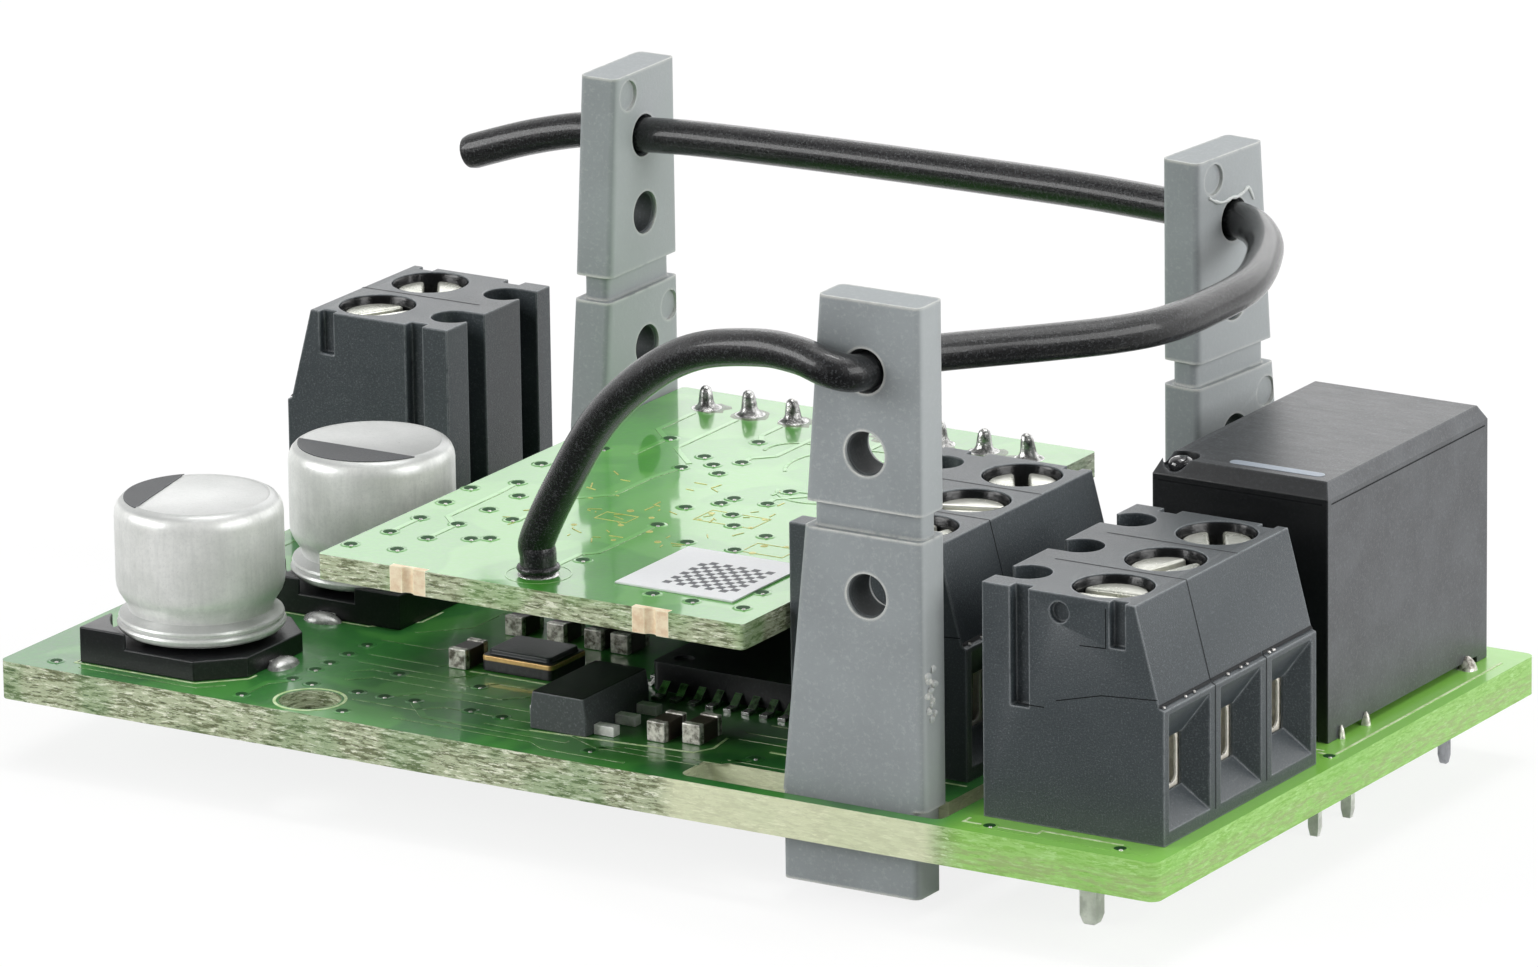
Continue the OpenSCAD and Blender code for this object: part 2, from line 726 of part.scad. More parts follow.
module fixed_contact(side, y) {
  relay_pin(side * rp_x, -rp_end, base_top + fixed_t);
  mirror([side < 0 ? 1 : 0, 0, 0]) {
    span([strip_in, -rp_end - rp_t / 2, base_top],
         [rp_x + rp_w / 2, -rp_end + rp_t / 2, base_top + fixed_t]);
    span([strip_in, -rp_end - rp_t / 2, base_top], [strip_out, y + fixed_t, base_top + fixed_t]);
    span([-contact_r, y, contact_z - contact_r], [strip_out, y + fixed_t, contact_z + contact_r]);
    span([strip_in, y, base_top], [strip_out, y + fixed_t, contact_z]);
  }
}

// coil pins, each with a wire lead to the lower flange
module relay_coil_pins() {
  lead_z = coil_z + flange_t / 2;
  color("#d8d8d4") in_relay() for (sx = [-1, 1]) {
    relay_pin(sx * rp_x, rp_coil, lead_z + 0.2);
    translate([sx * rp_x, coil_y - flange_d / 2, lead_z]) rotate([90, 0, 0])
      cylinder(r = 0.12, h = coil_y - flange_d / 2 - rp_coil, $fn = small_fn);
  }
}

// capacitor seat, square corners and lugs on its -X side, chamfered corners on +X
module capacitor_base(at, turn) {
  h = seat_w / 2;
  c = seat_chamfer;
  color("#1f2022") translate([at[0], at[1], 0]) rotate(turn) difference() {
    union() {
      linear_extrude(seat_h) polygon([[-h, -h], [h - c, -h], [h, -h + c], [h, h - c], [h - c, h], [-h, h]]);
      for (s = [-1, 1]) linear_extrude(lug_h)
        polygon([[-h, s * h], [-h + lug_w, s * h], [-h + lug_w, s * (h - lug_t)],
          [-h + lug_t, s * (h - lug_w)], [-h, s * (h - lug_w)]]);
    }
    translate([0, 0, seat_h]) cylinder(r = can_d / 2 + lug_gap, h = 2, $fn = can_fn);
    for (s = [-1, 1]) translate([s > 0 ? h - lead_l : -h - eps, -lead_w / 2, -eps])
      cube([lead_l + eps, lead_w, lead_t + eps]);
  }
}

// can turned from its section: rolled foot, neck groove, rounded shoulder
module capacitor_can(at) {
  r = can_d / 2;
  color("#c9cbcc") translate([at[0], at[1], 0]) rotate_extrude($fn = can_fn) polygon([
    [0, seat_h], [r - 0.35, seat_h], [r - 0.1, seat_h + 0.25], [r - 0.02, seat_h + 0.6],
    [r - 0.1, seat_h + 1], [r - 0.34, seat_h + 1.35], [r - 0.38, seat_h + 1.6],
    [r - 0.2, seat_h + 1.85], [r, seat_h + 2.2], [r, can_top - 0.35],
    [r - 0.1, can_top - 0.1], [r - 0.35, can_top], [0, can_top]
  ]);
}

module capacitor_leads() {
  color("#c8c8c4") for (c = [[cap_1, 0], [cap_2, 90]])
    translate([c[0][0], c[0][1], 0]) rotate(c[1]) for (s = [-1, 1])
      translate([s > 0 ? seat_w / 2 - lead_l : -seat_w / 2 - lead_l, -lead_w / 2, 0])
        cube([2 * lead_l, lead_w, lead_t]);
}

// tapered part of a holder between two heights, straight side at U = 0
module holder_blade(z0, z1, w0, w1) {
  tilt = atan((w0 - w1) / (z1 - z0));
  intersection() {
    translate([0, 0, z0]) linear_extrude(z1 - z0) rrect(far, holder_t, holder_edge_r);
    translate([w0, 0, z0]) rotate([0, -tilt, 0]) translate([-far, 0, -far / 4])
      linear_extrude(z1 - z0 + far / 2) rrect(far, holder_t, holder_edge_r);
  }
}

// aerial holder: two tapered blades joined by a break-off neck, three eyes, tab, ledge and barb
module antenna_holder(marks, mark_face) {
  color("#8b8e92") difference() {
    union() {
      holder_blade(0, neck_z, holder_base_w, neck_low_w);
      holder_blade(neck_z + neck_h, holder_h, neck_high_w, holder_top_w);
      translate([neck_side, neck_face, neck_z - eps]) linear_extrude(neck_h + 2 * eps)
        rrect(neck_high_w - 2 * neck_side, holder_t - 2 * neck_face, holder_edge_r);
      translate([tab_inset, 0, tab_z]) linear_extrude(eps - tab_z)
        rrect(holder_base_w - tab_inset - eps, holder_t, holder_edge_r);
      translate([ledge_u, -ledge_d, 0]) cube([ledge_l, ledge_d + holder_t / 2, ledge_h]);
      translate([ledge_u, 0, -board_t - barb_h]) rotate([90, 0, 90]) linear_extrude(ledge_l)
        polygon([[holder_t / 2, 0], [0, 0], [-ledge_d, barb_h - 0.05], [holder_t / 2, barb_h - 0.05]]);
    }
    for (z = eye_z) translate([eye_u, -1, z]) rotate([-90, 0, 0])
      cylinder(d = eye_d, h = holder_t + 2, $fn = thread_fn);
    for (m = marks) translate([m[0], mark_face ? holder_t - dimple_d : -1, m[1]]) rotate([-90, 0, 0])
      cylinder(r = dimple_r, h = 1 + dimple_d, $fn = hole_fn);
  }
}

module antenna_holder_front() {
  translate([front_holder[0], front_holder[1], 0]) rotate(180) antenna_holder(right_marks, false);
}

module antenna_holder_left() {
  translate([left_holder[0], left_holder[1], 0]) rotate(-90) antenna_holder(left_marks, true);
}

module antenna_holder_right() {
  translate([right_holder[0], right_holder[1], 0]) rotate(90 - right_turn)
    translate([0, -holder_t / 2, 0]) antenna_holder(right_marks, false);
}

// wire route: points tied to the aerial hole and to the three top eyes
fe = [front_holder[0] - eye_u, front_holder[1] - holder_t];
re = [right_holder[0] + eye_u * sin(right_turn), right_holder[1] + eye_u * cos(right_turn)];
le = [left_holder[0] + holder_t / 2, left_holder[1] - eye_u];
rs = sin(right_turn);
route = [
  [aerial_x, aerial_y, wire_foot],
  [aerial_x, aerial_y, wire_foot + 0.6],
  [aerial_x, aerial_y, wire_foot + 1.2],
  [aerial_x + 1.27, aerial_y - 0.4, wire_z - 7.25],
  [aerial_x + 3.55, aerial_y - 1.1, wire_z - 4.05],
  [aerial_x + 6.3, aerial_y - 1.9, wire_z - 1.65],
  [fe[0] - 7.15, fe[1] + 0.2, wire_z - 0.25],
  [fe[0] - 4.15, fe[1] - 0.5, wire_z + 0.45],
  [fe[0] - 2.2, fe[1] - 0.9, wire_z + 0.52],
  [fe[0] - 0.95, fe[1] - 1.12, wire_z + 0.3],
  [fe[0] - 0.22, fe[1] - 0.8, wire_z + 0.1],
  [fe[0], fe[1] - 0.05, wire_z],
  [fe[0], fe[1] + holder_t / 2, wire_z],
  [fe[0] + 0.08, fe[1] + holder_t + 0.2, wire_z],
  [fe[0] + 1.1, fe[1] + 3.7, wire_z - 0.05],
  [fe[0] + 3.8, fe[1] + 6.7, wire_z - 0.05],
  [fe[0] + 5.5, fe[1] + 8.86, wire_z - 0.05],
  [fe[0] + 6.4, fe[1] + 10.9, wire_z - 0.05],
  [fe[0] + 6.63, fe[1] + 13.4, wire_z - 0.05],
  [re[0] + 5.8, re[1] - 7.8, wire_z - 0.05],
  [re[0] + 4.1, re[1] - 3.5, wire_z - 0.05],
  [re[0] + 2.45, re[1] - 1.1, wire_z - 0.03],
  [re[0] + 1.1, re[1] - 1.1 * rs - 0.03, wire_z],
  [re[0], re[1], wire_z],
  [re[0] - 1.3, re[1] + 1.3 * rs, wire_z + 0.04],
  [re[0] - 5.4, re[1] + 0.1, wire_z + 0.2],
  [re[0] - 9.8, re[1], wire_z + 0.25],
  [le[0] + 9.8, le[1] + 0.1, wire_z + 0.25],
  [le[0] + 3.6, le[1], wire_z + 0.17],
  [le[0] + 1.1, le[1], wire_z + 0.04],
  [le[0], le[1], wire_z],
  [le[0] - 1.1, le[1], wire_z - 0.05],
  [le[0] - 2.3, le[1], wire_z - 0.2],
  [le[0] - 4.6, le[1], wire_z - 0.8],
  [le[0] - 7.3, le[1], wire_z - 1.72]
];

// smooth curve through the route
function curve(p, i, t) =
  let (a = p[max(i - 1, 0)], b = p[i], c = p[i + 1], d = p[min(i + 2, len(p) - 1)])
  0.5 * (2 * b + (c - a) * t + (2 * a - 5 * b + 4 * c - d) * t * t
    + (3 * b - a - 3 * c + d) * t * t * t);
wire_line = concat(
  [for (i = [0:len(route) - 2], s = [0:wire_steps - 1]) curve(route, i, s / wire_steps)],
  [route[len(route) - 1]]
);

// one-piece tube along a line, its sections turned from a fixed slanting reference
module tube(line, r, sides) {
  n = len(line);
  slant = [1, -1, 1];
  ways = [for (i = [0:n - 1]) let (d = line[min(i + 1, n - 1)] - line[max(i - 1, 0)]) d / norm(d)];
  points = [
    for (i = [0:n - 1])
      let (side = cross(ways[i], slant), u = side / norm(side), v = cross(ways[i], u))
        for (j = [0:sides - 1])
          line[i] + r * (u * cos(360 * j / sides) + v * sin(360 * j / sides))
  ];
  skin = [
    for (i = [0:n - 2], j = [0:sides - 1])
      let (k = (j + 1) % sides, a = i * sides + j, b = i * sides + k)
        each [[a, a + sides, b], [b, a + sides, b + sides]]
  ];
  ends = [[for (j = [0:sides - 1]) j], [for (j = [sides - 1:-1:0]) (n - 1) * sides + j]];
  polyhedron(points = points, faces = concat(skin, ends));
}

module antenna_wire() {
  color("#1b1c1e") tube(wire_line, wire_d / 2, wire_sides);
}

module antenna_core() {
  color("#c98a4b") translate([aerial_x, aerial_y, board_gap - core_low])
    cylinder(d = core_d, h = wire_foot - board_gap + core_low, $fn = hole_fn);
}

module clock_crystal() {
  s = crystal_size;
  color("#2b2a26") translate([crystal[0] - s[0] / 2, crystal[1] - s[1] / 2, 0]) {
    linear_extrude(s[2] - 0.2) rrect(s[0], s[1], 0.2);
    translate([0.2, 0.2, s[2] - 0.2 - eps]) linear_extrude(0.2 + eps) rrect(s[0] - 0.4, s[1] - 0.4, 0.2);
  }
}

module voltage_regulator() {
  s = regulator_size;
  color("#232527") translate([regulator[0], regulator[1] + s[1] / 2, 0]) rotate([90, 0, 0])
    linear_extrude(s[1]) polygon([
      [-s[0] / 2, 0], [s[0] / 2, 0], [s[0] / 2, s[2] / 2],
      [s[0] / 2 - 0.12, s[2]], [-s[0] / 2 + 0.12, s[2]], [-s[0] / 2, s[2] / 2]
    ]);
}

module regulator_leads() {
  s = regulator_size;
  l = regulator_lead;
  color("#c8c8c4") translate([regulator[0], regulator[1], 0]) {
    for (y = regulator_lead_y) translate([s[0] / 2, y - l[1] / 2, 0]) cube(l);
    translate([-s[0] / 2 - l[0], -0.85, 0]) cube([l[0], 1.7, l[2]]);
  }
}

module chip_bodies() {
  color("#6d5d4a") for (p = chip_at)
    translate([p[0] - chip_w / 2, p[1] - chip_l / 2 + chip_end, 0])
      cube([chip_w, chip_l - 2 * chip_end, chip_h - eps]);
}

module chip_ends() {
  color("#cfcfcb") for (p = chip_at, s = [0, 1])
    translate([p[0] - chip_w / 2, p[1] - chip_l / 2 + s * (chip_l - chip_end), 0])
      cube([chip_w, chip_end, chip_h]);
}

module microcontroller() {
  h = mcu_w / 2;
  color("#232527") translate([mcu[0], mcu[1], mcu_lift]) difference() {
    translate([-h, -h, 0]) linear_extrude(mcu_h) rrect(mcu_w, mcu_w, 0.3);
    translate([-h + 0.9, -h + 0.9, mcu_h - 0.1]) cylinder(r = 0.4, h = 1, $fn = hole_fn);
  }
}

// gull-wing leads on all four sides
module microcontroller_leads() {
  t = mcu_lead_t;
  color("#c8c8c4") translate([mcu[0], mcu[1], 0]) for (q = [0:3]) rotate(90 * q)
    for (i = [0:mcu_leads - 1])
      translate([mcu_w / 2, (i - (mcu_leads - 1) / 2) * mcu_pitch + mcu_lead_w / 2, 0])
        rotate([90, 0, 0]) linear_extrude(mcu_lead_w) polygon([
          [0, mcu_lead_z - t], [mcu_lead_bend, 0], [mcu_lead_l, 0],
          [mcu_lead_l, t], [mcu_lead_bend + 0.1, t], [0, mcu_lead_z]
        ]);
}

module radio_chip() {
  half = radio_chip_w / 2;
  color("#232527") translate([radio_chip_at[0] - half, radio_chip_at[1] - half, board_gap - radio_chip_h])
    cube([radio_chip_w, radio_chip_w, radio_chip_h]);
}

translate(frame_shift) {
  main_board();
  radio_board();
  radio_edge_pads();
  header_spacer(strip_x[0]);  // header_spacer_1
  header_spacer(strip_x[1]);  // header_spacer_2
  header_pins();
  radio_solder();
  board_solder();
  at_block(front_block, 0) terminal_housing(3);  // front_terminal_housing
  at_block(middle_block, 0) terminal_housing(3);  // middle_terminal_housing
  at_block(rear_block, 180) terminal_housing(2);  // rear_terminal_housing
  at_block(front_block, 0) block_contacts(3);  // front_terminal_contacts
  at_block(middle_block, 0) block_contacts(3);  // middle_terminal_contacts
  at_block(rear_block, 180) block_contacts(2);  // rear_terminal_contacts
  screw_node(0);  // clamp_screw_1
  screw_node(1);  // clamp_screw_2
  screw_node(2);  // clamp_screw_3
  screw_node(3);  // clamp_screw_4
  screw_node(4);  // clamp_screw_5
  screw_node(5);  // clamp_screw_6
  screw_node(6);  // clamp_screw_7
  screw_node(7);  // clamp_screw_8
  cage_node(0);  // clamp_cage_1
  cage_node(1);  // clamp_cage_2
  cage_node(2);  // clamp_cage_3
  cage_node(3);  // clamp_cage_4
  cage_node(4);  // clamp_cage_5
  cage_node(5);  // clamp_cage_6
  cage_node(6);  // clamp_cage_7
  cage_node(7);  // clamp_cage_8
  relay_cover();
  relay_base();
  relay_bobbin();
  relay_winding();
  relay_core();
  relay_yoke();
  relay_armature();
  relay_contact_spring();
  relay_fixed_contacts();
  relay_coil_pins();
  relay_vent_seal();
  capacitor_base(cap_1, 0);  // capacitor_base_1
  capacitor_base(cap_2, 90);  // capacitor_base_2
  capacitor_can(cap_1);  // capacitor_can_1
  capacitor_can(cap_2);  // capacitor_can_2
  capacitor_leads();
  antenna_holder_front();
  antenna_holder_left();
  antenna_holder_right();
  antenna_wire();
  antenna_core();
  clock_crystal();
  voltage_regulator();
  regulator_leads();
  chip_bodies();
  chip_ends();
  microcontroller();
  microcontroller_leads();
  radio_chip();
}
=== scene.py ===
import json
import math
import random

import bmesh
import bpy
from mathutils import Matrix, Vector

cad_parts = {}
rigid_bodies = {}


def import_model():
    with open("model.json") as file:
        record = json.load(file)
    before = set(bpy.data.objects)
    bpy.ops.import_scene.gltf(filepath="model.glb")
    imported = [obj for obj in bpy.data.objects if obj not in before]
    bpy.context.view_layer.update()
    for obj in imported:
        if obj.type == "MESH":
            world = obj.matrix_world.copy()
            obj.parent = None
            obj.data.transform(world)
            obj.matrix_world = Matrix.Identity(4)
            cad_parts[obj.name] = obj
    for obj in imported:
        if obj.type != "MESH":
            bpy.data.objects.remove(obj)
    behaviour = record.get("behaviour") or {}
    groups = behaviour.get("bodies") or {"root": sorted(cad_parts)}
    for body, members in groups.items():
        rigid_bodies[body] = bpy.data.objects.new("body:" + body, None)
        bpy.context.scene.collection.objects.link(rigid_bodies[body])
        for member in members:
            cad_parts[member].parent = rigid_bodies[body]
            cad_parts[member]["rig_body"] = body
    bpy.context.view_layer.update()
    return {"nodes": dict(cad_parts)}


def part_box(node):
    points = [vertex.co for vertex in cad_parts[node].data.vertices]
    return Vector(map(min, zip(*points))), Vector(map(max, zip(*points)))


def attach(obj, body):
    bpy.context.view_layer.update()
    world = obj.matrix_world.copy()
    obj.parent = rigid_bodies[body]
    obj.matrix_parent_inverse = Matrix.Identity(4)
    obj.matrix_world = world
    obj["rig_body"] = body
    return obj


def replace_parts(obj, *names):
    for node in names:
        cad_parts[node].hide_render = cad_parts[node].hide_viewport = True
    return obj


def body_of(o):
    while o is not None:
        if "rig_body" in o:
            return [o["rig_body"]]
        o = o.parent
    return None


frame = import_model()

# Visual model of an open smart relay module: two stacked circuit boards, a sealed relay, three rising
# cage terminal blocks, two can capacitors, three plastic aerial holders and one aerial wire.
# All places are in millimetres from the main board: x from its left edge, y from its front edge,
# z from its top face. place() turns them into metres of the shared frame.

MM = 0.001
board_low, board_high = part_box("main_board")
ORIGIN = Vector((board_low.x, board_low.y, board_high.z))
RADIO_TOP = 5.75
AERIAL = (22.3, 3.7)


# Lift of a hairline off the face under it
LINE_LIFT = 0.006


def place(x, y, z=0.0):
    """Point of the shared frame for board millimetres."""
    return ORIGIN + Vector((x, y, z)) * MM


def srgb(red, green, blue):
    """Linear colour of a 0 to 255 display colour."""
    def linear(v):
        v /= 255
        return v / 12.92 if v <= 0.04045 else ((v + 0.055) / 1.055) ** 2.4
    return (linear(red), linear(green), linear(blue))


def paler(colour, factor):
    return tuple(c * factor for c in colour)


# Objects and shader graphs

def link_object(name, data):
    made = bpy.data.objects.new(name, data)
    bpy.context.scene.collection.objects.link(made)
    return made


def mesh_object(name, bm, material):
    mesh = bpy.data.meshes.new(name)
    bm.to_mesh(mesh)
    bm.free()
    mesh.materials.append(material)
    return link_object(name, mesh)


def patch(bm, points):
    """One face of its own over the points."""
    bm.faces.new([bm.verts.new(point) for point in points])


class Graph:
    """Shader graph of a material or world; values may be plain numbers, colours or sockets."""

    def __init__(self, owner, output="OutputMaterial"):
        owner.use_nodes = True
        self.owner = owner
        self.tree = owner.node_tree
        self.tree.nodes.clear()
        self.surface = self.node(output).inputs["Surface"]
        self.coordinate = self.node("TexCoord").outputs
        self.mm = self.add("VectorMath", {0: self.coordinate["Object"], "Scale": 1 / MM}, operation="SCALE")

    def node(self, kind, **settings):
        made = self.tree.nodes.new("ShaderNode" + kind)
        for key, value in settings.items():
            setattr(made, key, value)
        return made

    def feed(self, socket, value):
        if isinstance(value, bpy.types.NodeSocket):
            self.tree.links.new(value, socket)
        elif socket.type == "RGBA":
            socket.default_value = (*value[:3], 1)
        else:
            socket.default_value = value

    def add(self, kind, inputs, output=0, **settings):
        """One output of a new node; inputs: value by socket name or number."""
        made = self.node(kind, **settings)
        for key, value in inputs.items():
            self.feed(made.inputs[key], value)
        return made.outputs[output]

    def principled(self, **values):
        """Finished material; values: socket names with _ for spaces."""
        sockets = {key.replace("_", " "): value for key, value in values.items()}
        self.feed(self.surface, self.add("BsdfPrincipled", sockets, "BSDF"))
        return self.owner

    def math(self, operation, a, b=0.0):
        return self.add("Math", {0: a, 1: b}, operation=operation)

    def times(self, a, b):
        return self.math("MULTIPLY", a, b)

    def smooth(self, value, low, high):
        """0 below low, 1 above high, soft between."""
        return self.add("MapRange", {"Value": value, "From Min": low, "From Max": high}, "Result",
                        interpolation_type="SMOOTHSTEP")

    def span(self, value, low, high):
        """Plain line from low to high for a value of 0 to 1."""
        return self.add("MapRange", {"Value": value, "To Min": low, "To Max": high}, "Result")

    def within(self, value, low, high, soft):
        """1 between low and high."""
        rise = self.smooth(value, low - soft, low + soft)
        return self.math("SUBTRACT", rise, self.smooth(value, high - soft, high + soft))

    def mix(self, factor, a, b):
        return self.add("Mix", {0: factor, 6: a, 7: b}, 2, data_type="RGBA")

    def over(self, tone, mask, share, colour):
        """Tone with a share of a colour over it where the mask is 1."""
        return self.mix(self.times(mask, share), tone, colour)

    def stretched(self, *scales):
        return self.add("VectorMath", {0: self.mm, 1: scales}, operation="MULTIPLY")

    def noise(self, size, detail=3.0, roughness=0.5, vector=None, distortion=0.0):
        """Soft noise whose lumps are about size mm wide."""
        return self.add("TexNoise", {
            "Vector": vector or self.mm, "Scale": 1 / size, "Detail": detail, "Roughness": roughness,
            "Distortion": distortion})

    def axis(self, vector, number):
        return self.add("SeparateXYZ", {0: vector}, number)

    def facing(self, number):
        """The normal's share along an axis."""
        return self.axis(self.coordinate["Normal"], number)

    def facing_up(self):
        """1 on level faces, 0 on upright ones."""
        return self.smooth(self.math("ABSOLUTE", self.facing(2)), 0.55, 0.75)

    def edges(self, radius):
        """1 along edges of the piece, from the rounded normal."""
        rounded = self.add("Bevel", {"Radius": radius * MM}, samples=4)
        flat = self.add("NewGeometry", {}, "Normal")
        same = self.add("VectorMath", {0: rounded, 1: flat}, "Value", operation="DOT_PRODUCT")
        return self.smooth(self.math("SUBTRACT", 1.0, same), 0.004, 0.08)

    def bump(self, height, depth, under=None):
        """Relief of depth mm from a 0 to 1 height."""
        inputs = {"Strength": 1.0, "Distance": depth * MM, "Height": height}
        if under:
            inputs["Normal"] = under
        return self.add("Bump", inputs)


# Camera, floor and light

CAMERA_AT = Vector((227.92, -367.54, 138.49)) * MM
CAMERA_AZIMUTH = 31.70
CAMERA_ELEVATION = 16.34
CAMERA_ROLL = -0.783
CAMERA_LENS = 277.4
CAMERA_SHIFT = (-0.00475, -0.01086)


def make_camera():
    data = bpy.data.cameras.new("camera")
    data.sensor_fit = "HORIZONTAL"
    data.sensor_width = 36
    data.lens = CAMERA_LENS
    data.shift_x, data.shift_y = CAMERA_SHIFT
    data.clip_start = 0.01
    data.clip_end = 20
    stand = Matrix.Translation(CAMERA_AT)
    for degrees, axis in ((CAMERA_AZIMUTH, "Z"), (90 - CAMERA_ELEVATION, "X"), (CAMERA_ROLL, "Z")):
        stand = stand @ Matrix.Rotation(math.radians(degrees), 4, axis)
    camera = link_object("camera", data)
    camera.matrix_world = stand
    bpy.context.scene.camera = camera


FLOOR_HALF = 2.0
FLOOR_DARK_FROM = -0.02
FLOOR_LIGHT_FROM = 0.03
FLOOR_FRONT = 0.12
FLOOR_GLOW = 1.06
SHADOW_SHARE = 0.2
CORNERS = ((-1, -1), (1, -1), (1, 1), (-1, 1))


def make_floor():
    """Pale floor: white to the camera but for a faint shadow, darker in reflections before the object."""
    g = Graph(bpy.data.materials.new("floor"))
    path = g.node("LightPath").outputs
    depth = g.smooth(g.axis(g.coordinate["Object"], 1), FLOOR_DARK_FROM, FLOOR_LIGHT_FROM)
    mirrored = g.times(path["Is Glossy Ray"], g.span(depth, FLOOR_FRONT, 1.0))
    glow = g.add("Emission", {
        "Strength": g.math("ADD", g.times(path["Is Camera Ray"], FLOOR_GLOW), mirrored)})
    cloth = g.add("BsdfDiffuse", {"Color": g.mix(g.noise(0.8), (0.78, 0.78, 0.77), (0.82, 0.82, 0.82))})
    share = g.math("ADD", g.times(path["Is Camera Ray"], 1 - SHADOW_SHARE), path["Is Glossy Ray"])
    g.feed(g.surface, g.add("MixShader", {0: share, 1: cloth, 2: glow}))
    bm = bmesh.new()
    patch(bm, [(x * FLOOR_HALF, y * FLOOR_HALF, 0) for x, y in CORNERS])
    floor = mesh_object("floor", bm, g.owner)


WORLD_DIFFUSE = 0.13
WORLD_FRONT = 0.16
WORLD_DARK_FROM = -0.35
WORLD_LIGHT_FROM = 0.45


def make_world():
    """White room behind the object, dim room before it; white to the camera."""
    world = bpy.data.worlds.new("studio")
    bpy.context.scene.world = world
    g = Graph(world, "OutputWorld")
    path = g.node("LightPath").outputs
    depth = g.smooth(g.axis(g.coordinate["Generated"], 1), WORLD_DARK_FROM, WORLD_LIGHT_FROM)
    mirrored = g.math("MAXIMUM", path["Is Glossy Ray"], path["Is Transmission Ray"])
    unseen = g.add("Mix", {0: mirrored, 2: WORLD_DIFFUSE, 3: g.span(depth, WORLD_FRONT, 1.0)})
    strength = g.add("Mix", {0: path["Is Camera Ray"], 2: unseen, 3: 1.0})
    g.feed(g.surface, g.add("Background", {"Strength": strength}))


# Place and size in metres, and radiance, of each soft rectangular light
LIGHTS = {
    "back_panel": ((0.05, 0.62, 0.30), (1.3, 0.46), 1.15),
    "top_panel": ((0.05, 0.05, 0.75), (0.6, 0.6), 1.7),
    "top_key": ((0.02, 0.12, 0.78), (0.26, 0.1), 14.0),
    "front_fill": ((-0.50, -0.48, 0.27), (0.6, 0.3), 6.4),
    "side_fill": ((0.62, -0.05, 0.28), (0.5, 0.36), 4.6),
}
LIGHT_AIM = Vector((0, 0, 0.01))


def make_lights():
    for name, (at, size, radiance) in LIGHTS.items():
        data = bpy.data.lights.new(name, "AREA")
        data.shape = "RECTANGLE"
        data.size, data.size_y = size
        data.energy = radiance * math.pi * size[0] * size[1]
        light = link_object(name, data)
        light.location = at
        light.rotation_euler = (LIGHT_AIM - Vector(at)).to_track_quat("-Z", "Y").to_euler()
        light.visible_camera = False


# Materials

def moulded(name, colour, light, rough, grain=0.12, relief=0.012, edge=0.12, edge_share=0.5, blotch=2.5,
            fleck=0.0, specular=0.5, coat=0.0, coat_rough=0.2, grain_share=0.35, painted_level_shade=None,
            rim=None, painted_right_light=None):
    """Moulded plastic: fine grain, slow blotches, paler edges that are partly wear and partly painted
    highlight, some flecks; if asked, painted shade on level faces and painted light on faces turned to +x.
    """
    g = Graph(bpy.data.materials.new(name))
    slow = g.noise(blotch, 4, 0.6)
    fine = g.noise(grain, 5, 0.7)
    tone = g.mix(g.smooth(slow, 0.3, 0.7), colour, paler(colour, 1.12))
    tone = g.over(tone, g.smooth(fine, 0.5, 0.7), grain_share, light)
    if fleck:
        cells = g.add("TexVoronoi", {"Vector": g.mm, "Scale": 1 / 0.35}, "Distance")
        tone = g.over(tone, g.smooth(cells, 0.16, 0.06), fleck, light)
    # Paler edges, in patches: partly wear, partly painted highlight
    worn = g.times(g.edges(edge), g.smooth(g.noise(0.5, 3), 0.2, 0.5))
    tone = g.over(tone, worn, edge_share, rim or light)
    # Painted shade: a darker tone on level faces
    if painted_level_shade:
        tone = g.mix(g.facing_up(), tone, painted_level_shade)
    # Painted light: a paler tone on faces turned to +x
    if painted_right_light:
        tone = g.over(tone, g.smooth(g.facing(0), 0.6, 0.95), 0.6, painted_right_light)
    return g.principled(
        Base_Color=tone, Roughness=g.span(g.times(fine, g.smooth(slow, 0.1, 0.9)), *rough),
        Specular_IOR_Level=specular, Coat_Weight=coat, Coat_Roughness=coat_rough,
        Normal=g.bump(fine, relief))


def metal(name, colour, dull, rough, relief, lump, metallic, stretch=(1, 1, 1)):
    """Metal with a tarnish pattern, fine scratches and brighter edges as painted highlight."""
    g = Graph(bpy.data.materials.new(name))
    vector = g.stretched(*stretch)
    slow = g.noise(lump, 4, 0.6, vector)
    fine = g.times(g.noise(lump / 6, 4, 0.7, vector), 0.4)
    tone = g.mix(g.smooth(slow, 0.35, 0.68), colour, dull)
    # Painted highlight: brighter edges
    tone = g.over(tone, g.edges(0.08), 0.6, tuple(min(1, c) for c in paler(colour, 1.25)))
    patches = g.smooth(g.math("ADD", g.times(slow, 0.6), fine), 0.3, 0.7)
    return g.principled(Base_Color=tone, Metallic=metallic, Roughness=g.span(patches, *rough),
                        Normal=g.bump(g.math("ADD", slow, fine), relief))


LAMINATE = srgb(184, 194, 160)
LAMINATE_DARK = srgb(118, 126, 92)
LAMINATE_CHAR = srgb(58, 66, 44)
LAMINATE_FIBRE = srgb(236, 240, 218)
LAMINATE_PALE = srgb(232, 236, 200)
LAMINATE_CORE = srgb(176, 178, 140)
# Colour of the painted lime light on the main board's right end
LIME = srgb(150, 216, 92)
# Colour of the painted shade on the main board under the radio board
SHADE = srgb(14, 44, 26)
# Part millimetres along x where the main board's cut edge turns pale, then where painted lime light starts on
# it and on the top beyond it
PALE_EDGE_FROM = 4.8
LIME_LIGHT_FROM = 16.4


